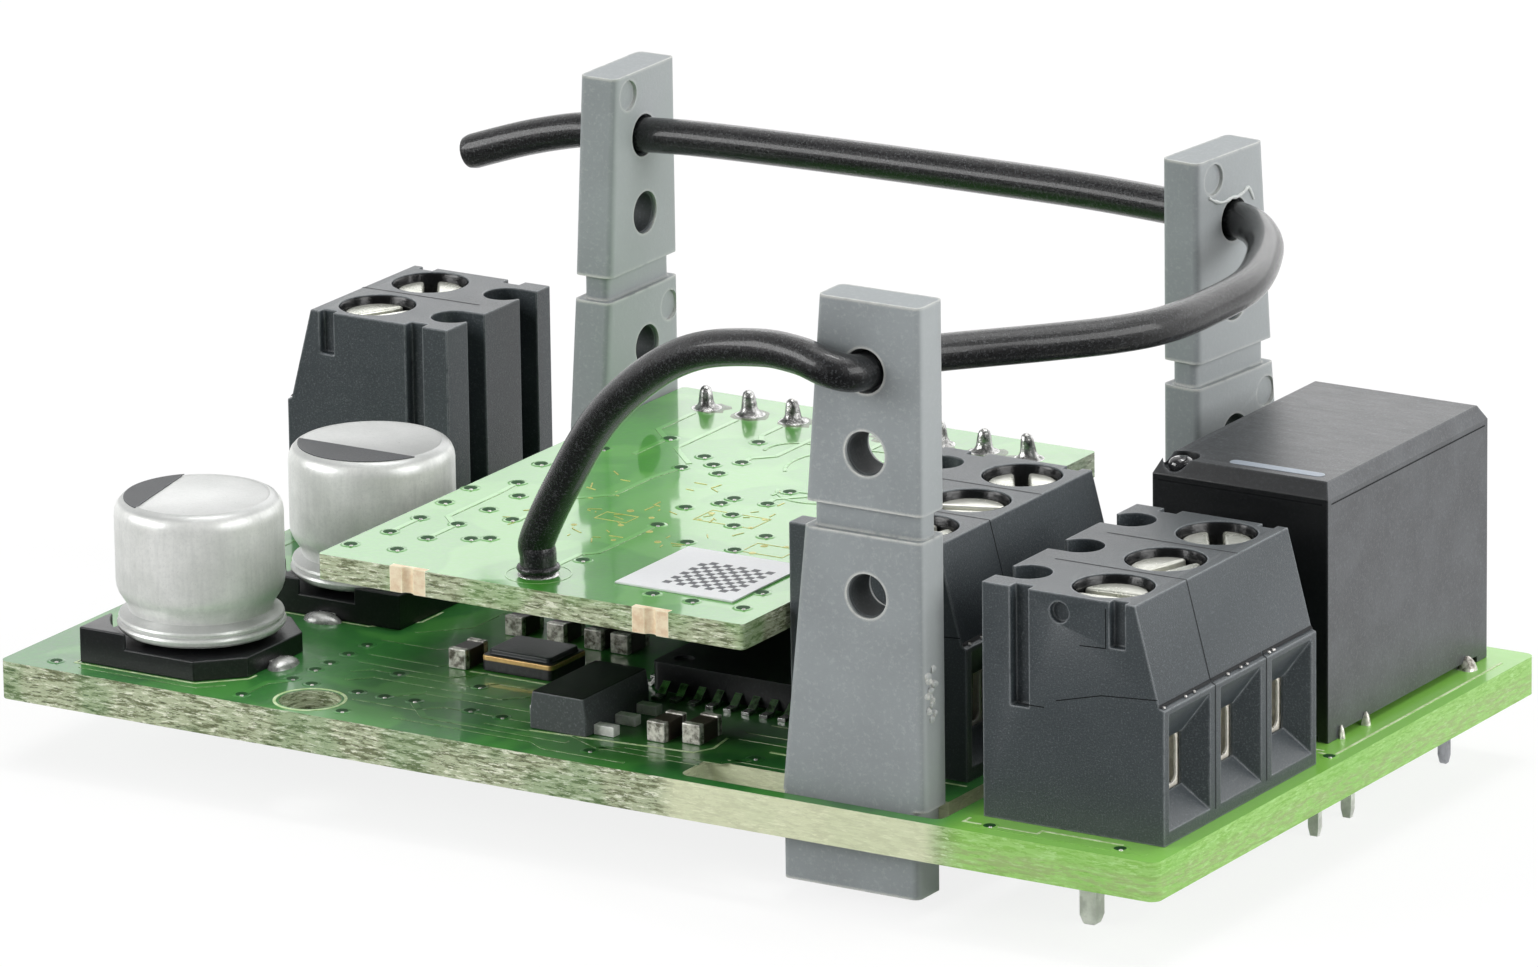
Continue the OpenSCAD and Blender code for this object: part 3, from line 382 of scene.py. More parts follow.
def circuit_board(name, mask, bare, gloss, ior, painted_light_and_shade=False):
    """Solder mask on the level faces, streaked glass laminate on the cut edges; if asked, painted lime light
    at the right end and painted shade under the radio board.
    """
    g = Graph(bpy.data.materials.new(name))
    up = g.facing_up()
    weave = g.noise(0.22, 2, 0.5)
    pour = g.smooth(g.noise(4.5, 2, 0.4, distortion=0.6), 0.46, 0.54)
    tone = g.over(g.mix(pour, mask, bare), g.smooth(weave, 0.4, 0.75), 0.25, paler(bare, 1.3))
    streaks = g.noise(1.0, 4, 0.7, g.stretched(1.2, 1.2, 7))
    fibres = g.noise(1.0, 4, 0.75, g.stretched(1.9, 1.9, 11))
    cut = g.mix(g.smooth(streaks, 0.47, 0.58), LAMINATE, LAMINATE_DARK)
    cut = g.over(cut, g.smooth(fibres, 0.54, 0.62), 0.95, LAMINATE_FIBRE)
    cut = g.over(cut, g.smooth(fibres, 0.42, 0.36), 0.75, LAMINATE_CHAR)
    cut = g.over(cut, g.smooth(g.noise(3.0, 2), 0.45, 0.6), 0.25, paler(mask, 1.4))
    if painted_light_and_shade:
        x, y, z = (g.axis(g.mm, number) for number in range(3))
        # Painted light: lime on the right end of the cut edge and of the top
        lime = g.smooth(x, LIME_LIGHT_FROM - 0.6, LIME_LIGHT_FROM + 1.4)
        middle = g.times(g.within(z, 2.7, 3.5, 0.25), g.smooth(streaks, 0.4, 0.6))
        cut = g.over(cut, g.within(x, PALE_EDGE_FROM, LIME_LIGHT_FROM, 0.6), 0.75, LAMINATE_PALE)
        cut = g.over(cut, lime, 0.72, LIME)
        cut = g.over(cut, g.times(lime, middle), 0.5, LAMINATE_CORE)
        tone = g.over(tone, lime, 0.82, LIME)
        # Painted shade: darker green where the radio board shades the main board
        tone = g.over(tone, g.times(g.within(x, -1.5, 14.0, 2.5), g.within(y, -14.0, 9.0, 1.0)), 0.45, SHADE)
    wavy = g.bump(g.noise(2.2, 2, 0.4), 0.010)
    torn = g.times(g.math("SUBTRACT", 1.0, up), streaks)
    return g.principled(
        Base_Color=g.mix(up, cut, tone), Specular_IOR_Level=0.3,
        Roughness=g.mix(up, g.span(fibres, 0.45, 0.8), g.span(weave, 0.28, 0.42)),
        Normal=g.bump(torn, 0.05, g.bump(weave, 0.0035, wavy)),
        Coat_Weight=gloss, Coat_IOR=ior, Coat_Roughness=0.06, Coat_Normal=wavy)


def silkscreen_ink():
    g = Graph(bpy.data.materials.new("silkscreen_ink"))
    worn = g.smooth(g.noise(0.25, 3), 0.35, 0.62)
    tone = g.mix(worn, srgb(186, 216, 148), srgb(222, 238, 196))
    return g.principled(Base_Color=tone, Roughness=g.span(worn, 0.4, 0.65), Normal=g.bump(worn, 0.01))


def label_paper():
    """White film of the label."""
    g = Graph(bpy.data.materials.new("label_paper"))
    fibre = g.noise(0.15, 4, 0.7)
    tone = g.mix(fibre, srgb(232, 234, 236), srgb(246, 247, 248))
    return g.principled(Base_Color=tone, Roughness=g.span(fibre, 0.45, 0.6), Normal=g.bump(fibre, 0.004))


def relay_plastic():
    """Speckled charcoal cover with faint flow marks, darker on its lid; its front and the specks on it darker
    as painted shade, its edges paler as painted highlight.
    """
    g = Graph(bpy.data.materials.new("relay_plastic"))
    speck = g.noise(0.11, 4, 0.75)
    streak = g.noise(0.8, 4, 0.6, g.stretched(0.6, 2.5, 2.5))
    # Painted shade: the front face and its specks go darker
    front = g.smooth(g.facing(1), -0.5, -0.9)
    tone = g.mix(g.smooth(g.noise(2.4, 4, 0.6), 0.35, 0.7), srgb(66, 68, 71), srgb(80, 83, 86))
    tone = g.mix(g.facing_up(), tone, srgb(32, 35, 38))
    tone = g.mix(front, tone, srgb(17, 19, 21))
    specks = g.mix(front, srgb(108, 112, 116), srgb(40, 43, 46))
    tone = g.over(tone, g.smooth(speck, 0.5, 0.64), 0.5, specks)
    # Painted highlight: paler edges
    tone = g.over(tone, g.edges(0.14), 0.35, srgb(112, 115, 118))
    mottled = g.math("ADD", g.times(speck, 0.6), g.times(streak, 0.4))
    return g.principled(
        Base_Color=tone, Roughness=g.span(g.smooth(mottled, 0.3, 0.7), 0.34, 0.5),
        Specular_IOR_Level=0.5, Coat_Weight=0.25, Coat_Roughness=0.35, Normal=g.bump(speck, 0.012))


def can_aluminium():
    """Drawn aluminium can: satin, finely mottled, faint lines up its side, and a darker top as painted shade.
    """
    g = Graph(bpy.data.materials.new("can_aluminium"))
    mottle = g.noise(0.14, 5, 0.75)
    drawn = g.noise(1.0, 4, 0.6, g.stretched(5, 5, 0.5))
    tone = g.mix(g.smooth(g.noise(1.6, 3), 0.3, 0.7), srgb(248, 249, 246), srgb(230, 232, 228))
    tone = g.over(tone, g.smooth(mottle, 0.4, 0.7), 0.3, srgb(200, 203, 202))
    # Painted shade: darker level top
    tone = g.over(tone, g.facing_up(), 0.5, srgb(150, 152, 152))
    tone = g.over(tone, g.smooth(drawn, 0.4, 0.66), 0.22, srgb(206, 208, 206))
    return g.principled(
        Base_Color=tone, Metallic=0.2, Specular_IOR_Level=0.7, Roughness=g.span(mottle, 0.22, 0.38),
        Normal=g.bump(mottle, 0.008))


def wire_skin():
    """Semi-gloss insulation with a fine grain and soft cloudy tones."""
    g = Graph(bpy.data.materials.new("wire_skin"))
    grain = g.noise(0.11, 4, 0.75)
    tone = g.mix(g.smooth(g.noise(0.5, 3, 0.6), 0.3, 0.7), srgb(12, 13, 14), srgb(20, 21, 23))
    tone = g.over(tone, g.smooth(grain, 0.52, 0.64), 0.4, srgb(84, 86, 88))
    return g.principled(
        Base_Color=tone, Roughness=g.span(grain, 0.1, 0.24), Specular_IOR_Level=0.4, Coat_Weight=0.4,
        Coat_Roughness=0.1, Normal=g.bump(grain, 0.03))


def crystal_can():
    """Dark foot, brass side and dark lid of the crystal, by height."""
    g = Graph(bpy.data.materials.new("crystal_can"))
    foot = board_high.z / MM
    z = g.axis(g.mm, 2)
    fine = g.noise(0.15, 4, 0.7)
    brass = g.within(z, foot + 0.45, foot + 0.63, 0.03)
    tone = g.mix(g.smooth(fine, 0.3, 0.7), (0.012, 0.012, 0.014), (0.03, 0.03, 0.033))
    tone = g.mix(brass, tone, g.mix(fine, srgb(246, 208, 140), srgb(196, 150, 86)))
    lid = g.smooth(z, foot + 0.62, foot + 0.66)
    tone = g.mix(lid, tone, g.mix(fine, srgb(36, 38, 42), srgb(62, 64, 68)))
    return g.principled(Base_Color=tone, Metallic=g.times(brass, 0.4), Roughness=g.span(fine, 0.25, 0.42),
                        Normal=g.bump(fine, 0.008))


# Display colours of the plastic and of its pale grain, roughness range, further values of moulded()
PLASTICS = {
    "flash": ((200, 204, 202), (230, 232, 230), (0.35, 0.5), dict(grain=0.1)),
    "flux": ((72, 96, 60), (120, 138, 100), (0.12, 0.3), dict(grain=0.2, blotch=0.8)),
    "black_plastic": ((22, 23, 25), (70, 73, 75), (0.3, 0.5), dict(fleck=0.2, grain_share=0.25)),
    # Charcoal and grey: rim is the colour of their paler edges, partly wear and partly painted highlight
    "charcoal_plastic": ((56, 63, 67), (112, 119, 123), (0.34, 0.52), dict(
        grain=0.07, relief=0.02, edge_share=0.8, grain_share=0.6, coat=0.2, coat_rough=0.3,
        rim=srgb(150, 155, 158))),
    # Regulator: painted shade darkens its top
    "regulator_plastic": ((70, 74, 76), (140, 146, 148), (0.4, 0.6), dict(
        grain=0.09, edge=0.1, fleck=0.3, painted_level_shade=srgb(16, 17, 18))),
    "cream_plastic": ((214, 204, 176), (236, 230, 212), (0.4, 0.6), {}),
    # Holders: painted light makes the faces turned to +x paler
    "grey_plastic": ((142, 148, 150), (180, 184, 186), (0.42, 0.6), dict(
        grain=0.16, edge=0.2, edge_share=0.95, blotch=3.5, specular=0.4, rim=srgb(222, 222, 216),
        painted_right_light=srgb(188, 193, 194))),
    "chip_brown": ((52, 44, 38), (104, 92, 80), (0.35, 0.55), dict(grain=0.08)),
    "label_print": ((92, 94, 98), (130, 132, 136), (0.5, 0.7), dict(grain=0.08)),
    "can_print": ((62, 64, 66), (112, 114, 116), (0.45, 0.65), dict(grain=0.1, specular=0.4)),
    # Painted shade in the screw wells
    "well_shade_wall": ((12, 13, 14), (40, 42, 44), (0.12, 0.3), dict(
        grain=0.3, relief=0.02, specular=0.35, coat=0.2, coat_rough=0.1)),
    # Painted shade in the holder eyes
    "eye_shade_wall": ((70, 74, 75), (112, 116, 118), (0.5, 0.7), dict(specular=0.2)),
    "groove": ((22, 24, 26), (48, 50, 52), (0.5, 0.7), dict(grain=0.1, specular=0.2)),
    # Painted shade: the dark of the via holes
    "via_hole_shade": ((26, 66, 30), (60, 110, 60), (0.5, 0.7), dict(grain=0.1, specular=0.15)),
    "lid_bar": ((150, 160, 172), (196, 204, 212), (0.35, 0.55), dict(grain=0.1)),
}
# Display colours of the metal and of its tarnish, roughness range, relief, lump size, metallic share
METALS = {
    "copper": ((252, 236, 204), (232, 204, 168), (0.4, 0.6), 0.03, 0.4, 0.15),
    "gold_pad": ((206, 200, 112), (150, 150, 66), (0.25, 0.45), 0.01, 0.3, 0.3),
    "joint": ((206, 206, 204), (96, 96, 94), (0.10, 0.22), 0.03, 0.35, 0.9),
    "tinned": ((250, 250, 246), (206, 206, 202), (0.25, 0.4), 0.01, 0.8, 0.05),
    "solder": ((222, 222, 220), (150, 151, 150), (0.14, 0.34), 0.03, 0.45, 0.5),
    "winding_copper": ((206, 120, 66), (150, 76, 40), (0.25, 0.45), 0.03, 0.3, 0.7, (1, 12, 1)),
    "iron": ((176, 178, 182), (120, 122, 126), (0.3, 0.5), 0.01, 0.6, 1.0),
    "nickel": ((240, 240, 230), (200, 202, 190), (0.2, 0.3), 0.006, 1.4, 0.6),
    # Painted light: the cage mouths are a paler copy of the nickel
    "cage_mouth": ((255, 250, 236), (236, 230, 214), (0.2, 0.3), 0.02, 0.4, 0.05),
    "chip_end": ((250, 246, 236), (104, 98, 88), (0.14, 0.3), 0.03, 0.3, 0.35),
}
# Display colours of the mask and of the copper under it, gloss, coat's refraction, and whether it carries
# painted light on its right end and painted shade under the radio board
MASKS = {
    "board_green": ((48, 118, 52), (74, 146, 64), 0.45, 1.42, True),
    "radio_green": ((72, 154, 52), (90, 168, 64), 1.0, 1.45),
    "trace_green": ((98, 176, 78), (110, 186, 88), 1.0, 1.49),
    "main_trace_green": ((64, 136, 60), (88, 158, 74), 0.45, 1.42, True),
}


def make_materials():
    made = {name: moulded(name, srgb(*colour), srgb(*light), rough, **more)
            for name, (colour, light, rough, more) in PLASTICS.items()}
    for make, rows in ((metal, METALS), (circuit_board, MASKS)):
        for name, (colour, other, *more) in rows.items():
            made[name] = make(name, srgb(*colour), srgb(*other), *more)
    made["resin"] = moulded("resin", (0.02, 0.02, 0.022), (0.10, 0.10, 0.10), (0.06, 0.14), relief=0.004,
                            coat=1.0, coat_rough=0.05)
    made.update(
        silkscreen_ink=silkscreen_ink(), label_paper=label_paper(), relay_plastic=relay_plastic(),
        can_aluminium=can_aluminium(), wire_skin=wire_skin(), crystal_can=crystal_can())
    return made


# Mesh helpers

def add_piece(name, bm, material, body="module", angle=32):
    """New mesh piece that rides on a body, smooth but for edges above an angle."""
    bmesh.ops.recalc_face_normals(bm, faces=bm.faces)
    made = mesh_object(name, bm, MATERIALS[material])
    made.data.polygons.foreach_set("use_smooth", [True] * len(made.data.polygons))
    made.data.set_sharp_from_angle(angle=math.radians(angle))
    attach(made, body)
    return made


def soften(piece, width, segments=2, angle=30):
    """Rounded edges in the geometry."""
    bevel = piece.modifiers.new("soft_edges", "BEVEL")
    bevel.width = width * MM
    bevel.segments = segments
    bevel.limit_method = "ANGLE"
    bevel.angle_limit = math.radians(angle)
    bevel.harden_normals = True


def merge_points(bm):
    bmesh.ops.remove_doubles(bm, verts=bm.verts, dist=0.002 * MM)


def dressed(node, material, bevel, segments=2, reshape=None):
    """A node's own shape with clean faces and rounded edges, in its place."""
    source = frame["nodes"][node]
    bm = bmesh.new()
    bm.from_mesh(source.data)
    merge_points(bm)
    bmesh.ops.dissolve_limit(bm, angle_limit=math.radians(1), verts=bm.verts, edges=bm.edges)
    if reshape:
        reshape(bm)
        merge_points(bm)
    piece = add_piece(node + "_shape", bm, material, body_of(source)[0])
    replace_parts(piece, node)
    soften(piece, bevel, segments)


def rewear(node, material):
    """New material on a node whose shape stays."""
    mesh = frame["nodes"][node].data
    mesh.materials.clear()
    mesh.materials.append(MATERIALS[material])


def turns(count):
    """Even turns of a circle in radians."""
    return [math.tau * i / count for i in range(count)]


def skin(bm, rings, looped=False):
    """Faces between rings of points. The ends are closed, or joined when looped; one point is a tip."""
    rings = [[bm.verts.new(point) for point in ring] for ring in rings]
    sides = max(len(ring) for ring in rings)
    following = rings[1:] + rings[:1] if looped else rings[1:]
    for low, high in zip(rings, following):
        for i in range(sides):
            j = (i + 1) % sides
            loop = [low[i % len(low)], low[j % len(low)], high[j % len(high)], high[i % len(high)]]
            corners = list(dict.fromkeys(loop))
            if len(corners) > 2:
                bm.faces.new(corners)
    for ring in () if looped else (rings[0][::-1], rings[-1]):
        if len(ring) > 2:
            bm.faces.new(ring)


def lathe(bm, centre, profile, sides=20, lean=(0.0, 0.0), swell=None):
    """Turned shape from (radius, height) points in mm; height is above centre."""
    tall = max(height for _, height in profile)
    rings = []
    for radius, height in profile:
        base = centre + (Vector((*lean, 0)) * (height / tall) + Vector((0, 0, height))) * MM
        rings.append([
            base + Vector((math.cos(t), math.sin(t), 0)) * (radius * wide) * MM
            for t, wide in zip(turns(sides), swell or [1] * sides)] if radius > 0 else [base])
    skin(bm, rings)


def prism(bm, outline, low, high):
    """Upright slab from an outline of board points."""
    skin(bm, [[place(x, y, z) for x, y in outline] for z in (low, high)])


def oblong(x, y, long, wide):
    """Outline of a level rectangle round a point."""
    return [(x + sx * long / 2, y + sy * wide / 2) for sx, sy in CORNERS]


def ribbon(bm, path, width, low, high, closed=False):
    """Flat strip of a width along board points, mitred at its corners."""
    points = [Vector(p) for p in path]
    count = len(points)
    lefts, rights = [], []
    for i, point in enumerate(points):
        way_in = (point - points[i - 1]).normalized() if i or closed else None
        way_out = (points[(i + 1) % count] - point).normalized() if i < count - 1 or closed else None
        way_in, way_out = way_in or way_out, way_out or way_in
        way = (way_in + way_out).normalized()
        normal = Vector((-way.y, way.x))
        side = Vector((-way_in.y, way_in.x))
        reach = width / 2 / max(0.4, normal.dot(side))
        lefts.append(point + normal * reach)
        rights.append(point - normal * reach)
    for i in range(count if closed else count - 1):
        j = (i + 1) % count
        prism(bm, [rights[i], rights[j], lefts[j], lefts[i]], low, high)


def arc(centre, radius, start, end, steps=14):
    """Points of an arc between two angles in degrees."""
    angles = [math.radians(start + (end - start) * i / steps) for i in range(steps + 1)]
    return [(centre[0] + radius * math.cos(t), centre[1] + radius * math.sin(t)) for t in angles]


def tube(bm, line, radii, sides):
    """Round tube along frame points, closed at both ends."""
    ways = [(line[min(i + 1, len(line) - 1)] - line[max(i - 1, 0)]).normalized() for i in range(len(line))]
    side = ways[0].orthogonal().normalized()
    rings = []
    for point, way, radius in zip(line, ways, radii):
        side = (side - way * side.dot(way)).normalized()
        other = way.cross(side)
        rings.append([point + (side * math.cos(t) + other * math.sin(t)) * radius for t in turns(sides)])
    skin(bm, rings)


def spline(points, steps):
    """Catmull-Rom curve through the points."""
    made = []
    for i in range(len(points) - 1):
        a, b = points[max(i - 1, 0)], points[i]
        c, d = points[i + 1], points[min(i + 2, len(points) - 1)]
        for t in (s / steps for s in range(steps)):
            made.append(0.5 * (2 * b + (c - a) * t + (2 * a - 5 * b + 4 * c - d) * t * t
                               + (3 * b - a - 3 * c + d) * t ** 3))
    return made + [points[-1]]


# Boards

RADIO_VIAS = [
    (14.0, 3.5), (14.4, 5.6), (14.4, 7.7), (15.9, 3.8), (16.1, 5.6), (16.1, 7.7), (16.1, 9.9), (17.6, 6.3),
    (18.2, 6.7), (16.1, 12.0), (15.1, 13.5), (17.6, 9.2), (14.5, 16.1), (14.1, 9.9), (13.9, 12.0),
    (19.5, 20.0), (20.4, 19.2), (21.2, 18.3), (21.2, 20.0), (20.3, 22.7), (19.5, 18.3), (22.5, 13.8),
    (23.4, 14.9), (23.5, 15.7), (25.0, 15.7), (24.9, 17.5), (24.6, 13.8), (25.4, 12.6), (27.2, 12.0),
    (27.1, 9.9), (25.0, 9.9), (22.8, 11.3), (22.8, 6.0), (30.9, 5.7), (29.2, 3.5), (31.3, 3.7), (27.4, 3.6),
    (29.5, 12.5), (30.5, 16.5), (28.5, 19.0), (26.5, 21.5), (31.0, 21.0), (17.0, 21.5), (15.5, 19.0),
]
MAIN_VIAS = [
    (2.0, 1.0), (10.6, 0.9), (11.2, 3.5), (12.2, 3.3), (11.3, 4.9), (11.3, 5.9), (11.3, 7.2), (11.3, 8.5),
    (14.3, 3.3), (15.5, 3.3), (14.4, 6.0), (16.8, 3.4), (15.1, 1.0), (25.9, 1.4), (31.8, 3.6), (18.0, 6.1),
    (19.3, 3.4), (20.8, 3.3), (43.5, 0.9), (49.0, 0.9), (41.2, 14.4), (2.5, 18.5), (9.8, 25.5), (10.4, 28.3),
    (3.0, 9.5), (1.2, 12.5), (33.5, 18.0), (34.5, 21.5), (36.5, 27.5), (50.3, 14.2),
]
GOLD_SPOTS = [
    (23.8, 12.7), (23.8, 13.6), (26.0, 13.9), (26.1, 12.7), (27.9, 9.9), (27.8, 10.9), (28.6, 11.2),
    (20.9, 12.4), (22.1, 12.0), (21.6, 10.6), (23.0, 10.4), (24.0, 9.4), (22.4, 8.8), (20.0, 9.8),
]
RADIO_TRACES = [
    [(15.9, 25.0), (15.9, 22.4), (16.9, 21.4), (16.9, 19.0)],
    [(17.9, 25.0), (17.9, 20.5), (19.5, 18.9)],
    [(19.9, 25.0), (19.9, 23.6), (20.3, 22.9)],
    [(21.9, 25.0), (21.9, 21.4), (21.2, 20.7), (21.2, 20.2)],
    [(24.6, 25.0), (24.6, 22.0), (26.5, 20.1), (26.5, 18.0), (24.9, 16.4), (24.9, 15.9)],
    [(26.6, 25.0), (26.6, 22.8), (28.5, 20.9), (28.5, 19.2)],
    [(28.6, 25.0), (28.6, 23.4), (31.0, 21.0), (31.0, 17.0), (30.5, 16.5)],
    [(30.6, 25.0), (31.6, 24.0), (31.6, 13.0), (30.2, 11.6), (30.2, 10.2)],
    [(22.3, 5.0), (22.3, 6.6), (22.8, 7.1), (22.8, 11.0)],
    [(14.4, 5.8), (14.4, 7.5)],
    [(16.1, 5.8), (16.1, 7.5), (15.2, 8.4), (15.2, 12.0), (15.1, 13.3)],
    [(17.8, 9.4), (17.8, 12.5), (19.2, 13.9), (19.2, 16.5), (19.5, 18.1)],
]
MAIN_TRACES = [
    [(10.6, 1.1), (10.6, 2.6), (11.2, 3.2)],
    [(15.6, 3.5), (16.6, 4.5), (21.6, 4.5)],
    [(16.9, 3.2), (18.2, 1.9), (24.6, 1.9)],
    [(25.9, 1.6), (26.8, 2.5), (31.0, 2.5), (31.8, 3.4)],
    [(43.0, 0.7), (50.2, 0.7)],
    [(41.3, 13.6), (41.3, 15.0)],
    [(1.0, 9.6), (1.0, 18.8), (2.4, 20.2)],
    [(10.8, 20.2), (10.8, 24.8), (9.9, 25.7)],
]
FINE_TRACES = [
    [(13.0, 4.4), (13.8, 5.2), (19.6, 5.2), (20.4, 6.0)],
    [(12.6, 5.4), (13.2, 6.0), (17.6, 6.0), (18.4, 6.8), (21.6, 6.8)],
    [(12.2, 6.6), (16.4, 6.6), (17.4, 7.6)],
    [(12.0, 7.6), (15.2, 7.6), (16.2, 8.6), (19.0, 8.6)],
    [(14.6, 2.5), (17.4, 2.5), (18.2, 3.3), (22.8, 3.3)],
    [(17.2, 1.3), (23.4, 1.3), (24.2, 0.8), (27.8, 0.8)],
    [(20.6, 2.4), (22.6, 2.4)],
    [(24.4, 2.6), (25.8, 1.9), (30.4, 1.9)],
    [(29.8, 6.2), (33.0, 6.2), (34.0, 7.2), (38.0, 7.2)],
    [(30.0, 5.4), (34.0, 5.4), (34.8, 6.2), (38.6, 6.2)],
    [(30.2, 7.4), (32.4, 7.4)],
    [(31.0, 3.0), (37.6, 3.0)],
    [(11.4, 9.4), (14.0, 9.4), (15.0, 10.4)],
    [(3.2, 0.8), (8.6, 0.8), (9.4, 1.6)],
    [(12.0, 10.8), (13.6, 12.4), (13.6, 16.0)],
]
SILKSCREEN = [
    [(42.4, 1.4), (42.4, 0.9), (45.5, 0.9), (45.5, 1.3), (48.9, 1.3)],
    [(49.7, 14.4), (50.4, 14.4), (50.4, 27.6)],
    [(41.9, 14.9), (41.9, 28.5)],
    [(41.9, 14.7), (49.8, 14.7)],
    [(16.6, 7.6), (20.4, 7.6)],
    [(22.2, 2.4), (29.4, 3.1), (29.8, 3.9), (29.6, 5.2)],
    [(31.9, 4.5), (40.4, 4.5)],
]


# Heights of a thin layer over its face: sunk foot and top
SUNK = 0.01
PRINT_TOP = 0.014


def make_vias(name, centres, level, slot, radius):
    """Open vias: a low mask rim round a dark sunk hole, whose darkness is painted shade, with a bright bead
    on its edge as a painted highlight.
    """
    parts = {"glints": bmesh.new(), "rims": bmesh.new(), "holes": bmesh.new()}
    for x, y in centres:
        lathe(parts["rims"], place(x, y, level - SUNK), [
            (radius + 0.16, 0.0), (radius + 0.10, 0.025), (radius + 0.02, 0.035), (radius - 0.03, 0.03)], 18)
        lathe(parts["holes"], place(x, y, level + 0.015), [
            (radius, 0.0), (radius, 0.012), (radius * 0.55, 0.016)], 16)
        # Painted highlight: a bright bead on the hole's edge
        lathe(parts["glints"], place(x + 0.6 * radius, y - 0.8 * radius, level + 0.02), [
            (0.08, 0), (0.07, 0.03), (0, 0.045)], 8)
    for (part, bm), material in zip(parts.items(), ("chip_end", slot, "via_hole_shade")):
        add_piece(f"{name}_{part}", bm, material)


def make_traces(name, paths, level, material, width):
    """Copper lines under the mask."""
    bm = bmesh.new()
    for path in paths:
        ribbon(bm, path, width, level - 0.02, level + 0.02)
    soften(add_piece(name, bm, material), 0.012, 1)


# Centre, radius, start and end in degrees of each relief arc on the radio board
RELIEF_ARCS = [((25.4, 21.3), 2.6, 20, 215), ((25.4, 21.3), 1.5, -30, 160), ((28.9, 20.7), 1.3, 60, 300),
               ((25.9, 18.2), 1.7, 200, 350), ((22.2, 22.3), 1.2, 30, 200), ((25.6, 16.6), 1.1, 20, 170)]


def make_relief_arcs():
    """Soft curved steps of the copper under the mask."""
    bm = bmesh.new()
    for shape in RELIEF_ARCS:
        ribbon(bm, arc(*shape, 20), 0.16, RADIO_TOP - 0.02, RADIO_TOP + 0.022)
    soften(add_piece("relief_arcs", bm, "trace_green"), 0.02)


GOLD_FLECKS = 60
GOLD_X = (17.2, 26.4)
GOLD_Y = (8.0, 17.4)
GOLD_FRAMES = ((24.9, 13.3, 2.6, 1.4), (28.3, 10.5, 1.8, 1.2), (20.9, 11.4, 1.4, 0.9))


def make_gold_details():
    """Bare gold-plated flecks and spots, three outlines and a ring round the aerial hole."""
    rng = random.Random(7)
    foot = RADIO_TOP - SUNK
    bm = bmesh.new()
    for _ in range(GOLD_FLECKS):
        x, y, turn = rng.uniform(*GOLD_X), rng.uniform(*GOLD_Y), rng.uniform(0, math.pi)
        reach = Vector((math.cos(turn), math.sin(turn))) * rng.uniform(0.08, 0.3)
        ribbon(bm, [(x - reach.x, y - reach.y), (x + reach.x, y + reach.y)], rng.uniform(0.03, 0.06),
               foot, RADIO_TOP + 0.016)
    for x, y in GOLD_SPOTS:
        radius = rng.uniform(0.10, 0.16)
        lathe(bm, place(x, y, foot), [(radius, 0), (radius * 0.9, 0.022), (radius * 0.4, 0.026)], 10)
    for shape in GOLD_FRAMES:
        ribbon(bm, oblong(*shape), 0.035, foot, RADIO_TOP + 0.012, closed=True)
    add_piece("gold_pads", bm, "gold_pad")
    ring = bmesh.new()
    ribbon(ring, arc(AERIAL, 1.25, 0, 345, 30), 0.05, foot, RADIO_TOP + PRINT_TOP, closed=True)
    add_piece("aerial_pad_outline", ring, "trace_green")


LOCATING_HOLE = (13.24, 1.62)
SEAT_GAP = 0.13
SEAT_CUT = 1.35


def make_silkscreen():
    """Pale outlines round the parts and the locating hole."""
    bm = bmesh.new()
    for path in SILKSCREEN:
        ribbon(bm, path, 0.11, -SUNK, PRINT_TOP)
    for i in range(2):
        low, high = ((corner - ORIGIN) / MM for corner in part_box(f"capacitor_base_{i + 1}"))
        left, front, right = low.x - SEAT_GAP, low.y - SEAT_GAP, high.x + SEAT_GAP
        bend = low.y + SEAT_CUT
        ribbon(bm, [(left, high.y - 1.0), (left, front), (high.x - SEAT_CUT, front), (right, bend),
                    (right, bend + 0.5 + i)], 0.09, -SUNK, PRINT_TOP)
    ribbon(bm, arc(LOCATING_HOLE, 1.36, 0, 351, 40), 0.12, -SUNK, PRINT_TOP, closed=True)
    add_piece("board_outlines", bm, "silkscreen_ink")


LABEL_AT = (28.05, 6.65)
LABEL_SIDE = 5.2
LABEL_CELLS = 10
LABEL_CELL = 0.31
LABEL_GRID_AT = (27.05, 4.8)


def make_label():
    """Square film label with a plain grid of squares, which carries nothing."""
    bm = bmesh.new()
    prism(bm, oblong(*LABEL_AT, LABEL_SIDE, LABEL_SIDE), RADIO_TOP, RADIO_TOP + 0.09)
    soften(add_piece("label", bm, "label_paper"), 0.02, 1)
    grid = bmesh.new()
    for i in range(LABEL_CELLS):
        for j in range(i % 2, LABEL_CELLS, 2):
            x, y = (start + (n + 0.5) * LABEL_CELL for start, n in zip(LABEL_GRID_AT, (i, j)))
            prism(grid, oblong(x, y, LABEL_CELL, LABEL_CELL), RADIO_TOP + 0.085, RADIO_TOP + 0.096)
    add_piece("label_grid", grid, "label_print")


STRIP_Y = 25.9
STRIP_X = [15.95, 17.95, 19.95, 21.95, 24.6, 26.6, 28.6, 30.6]
JOINT = [(0.52, -0.01), (0.48, 0.04), (0.38, 0.13), (0.31, 0.28), (0.28, 0.50), (0.25, 0.72), (0.20, 0.88),
         (0.11, 0.96), (0, 0.99)]
AERIAL_JOINT = [(0.80, -0.01), (0.78, 0.03), (0.70, 0.08), (0.62, 0.14), (0.56, 0.20)]


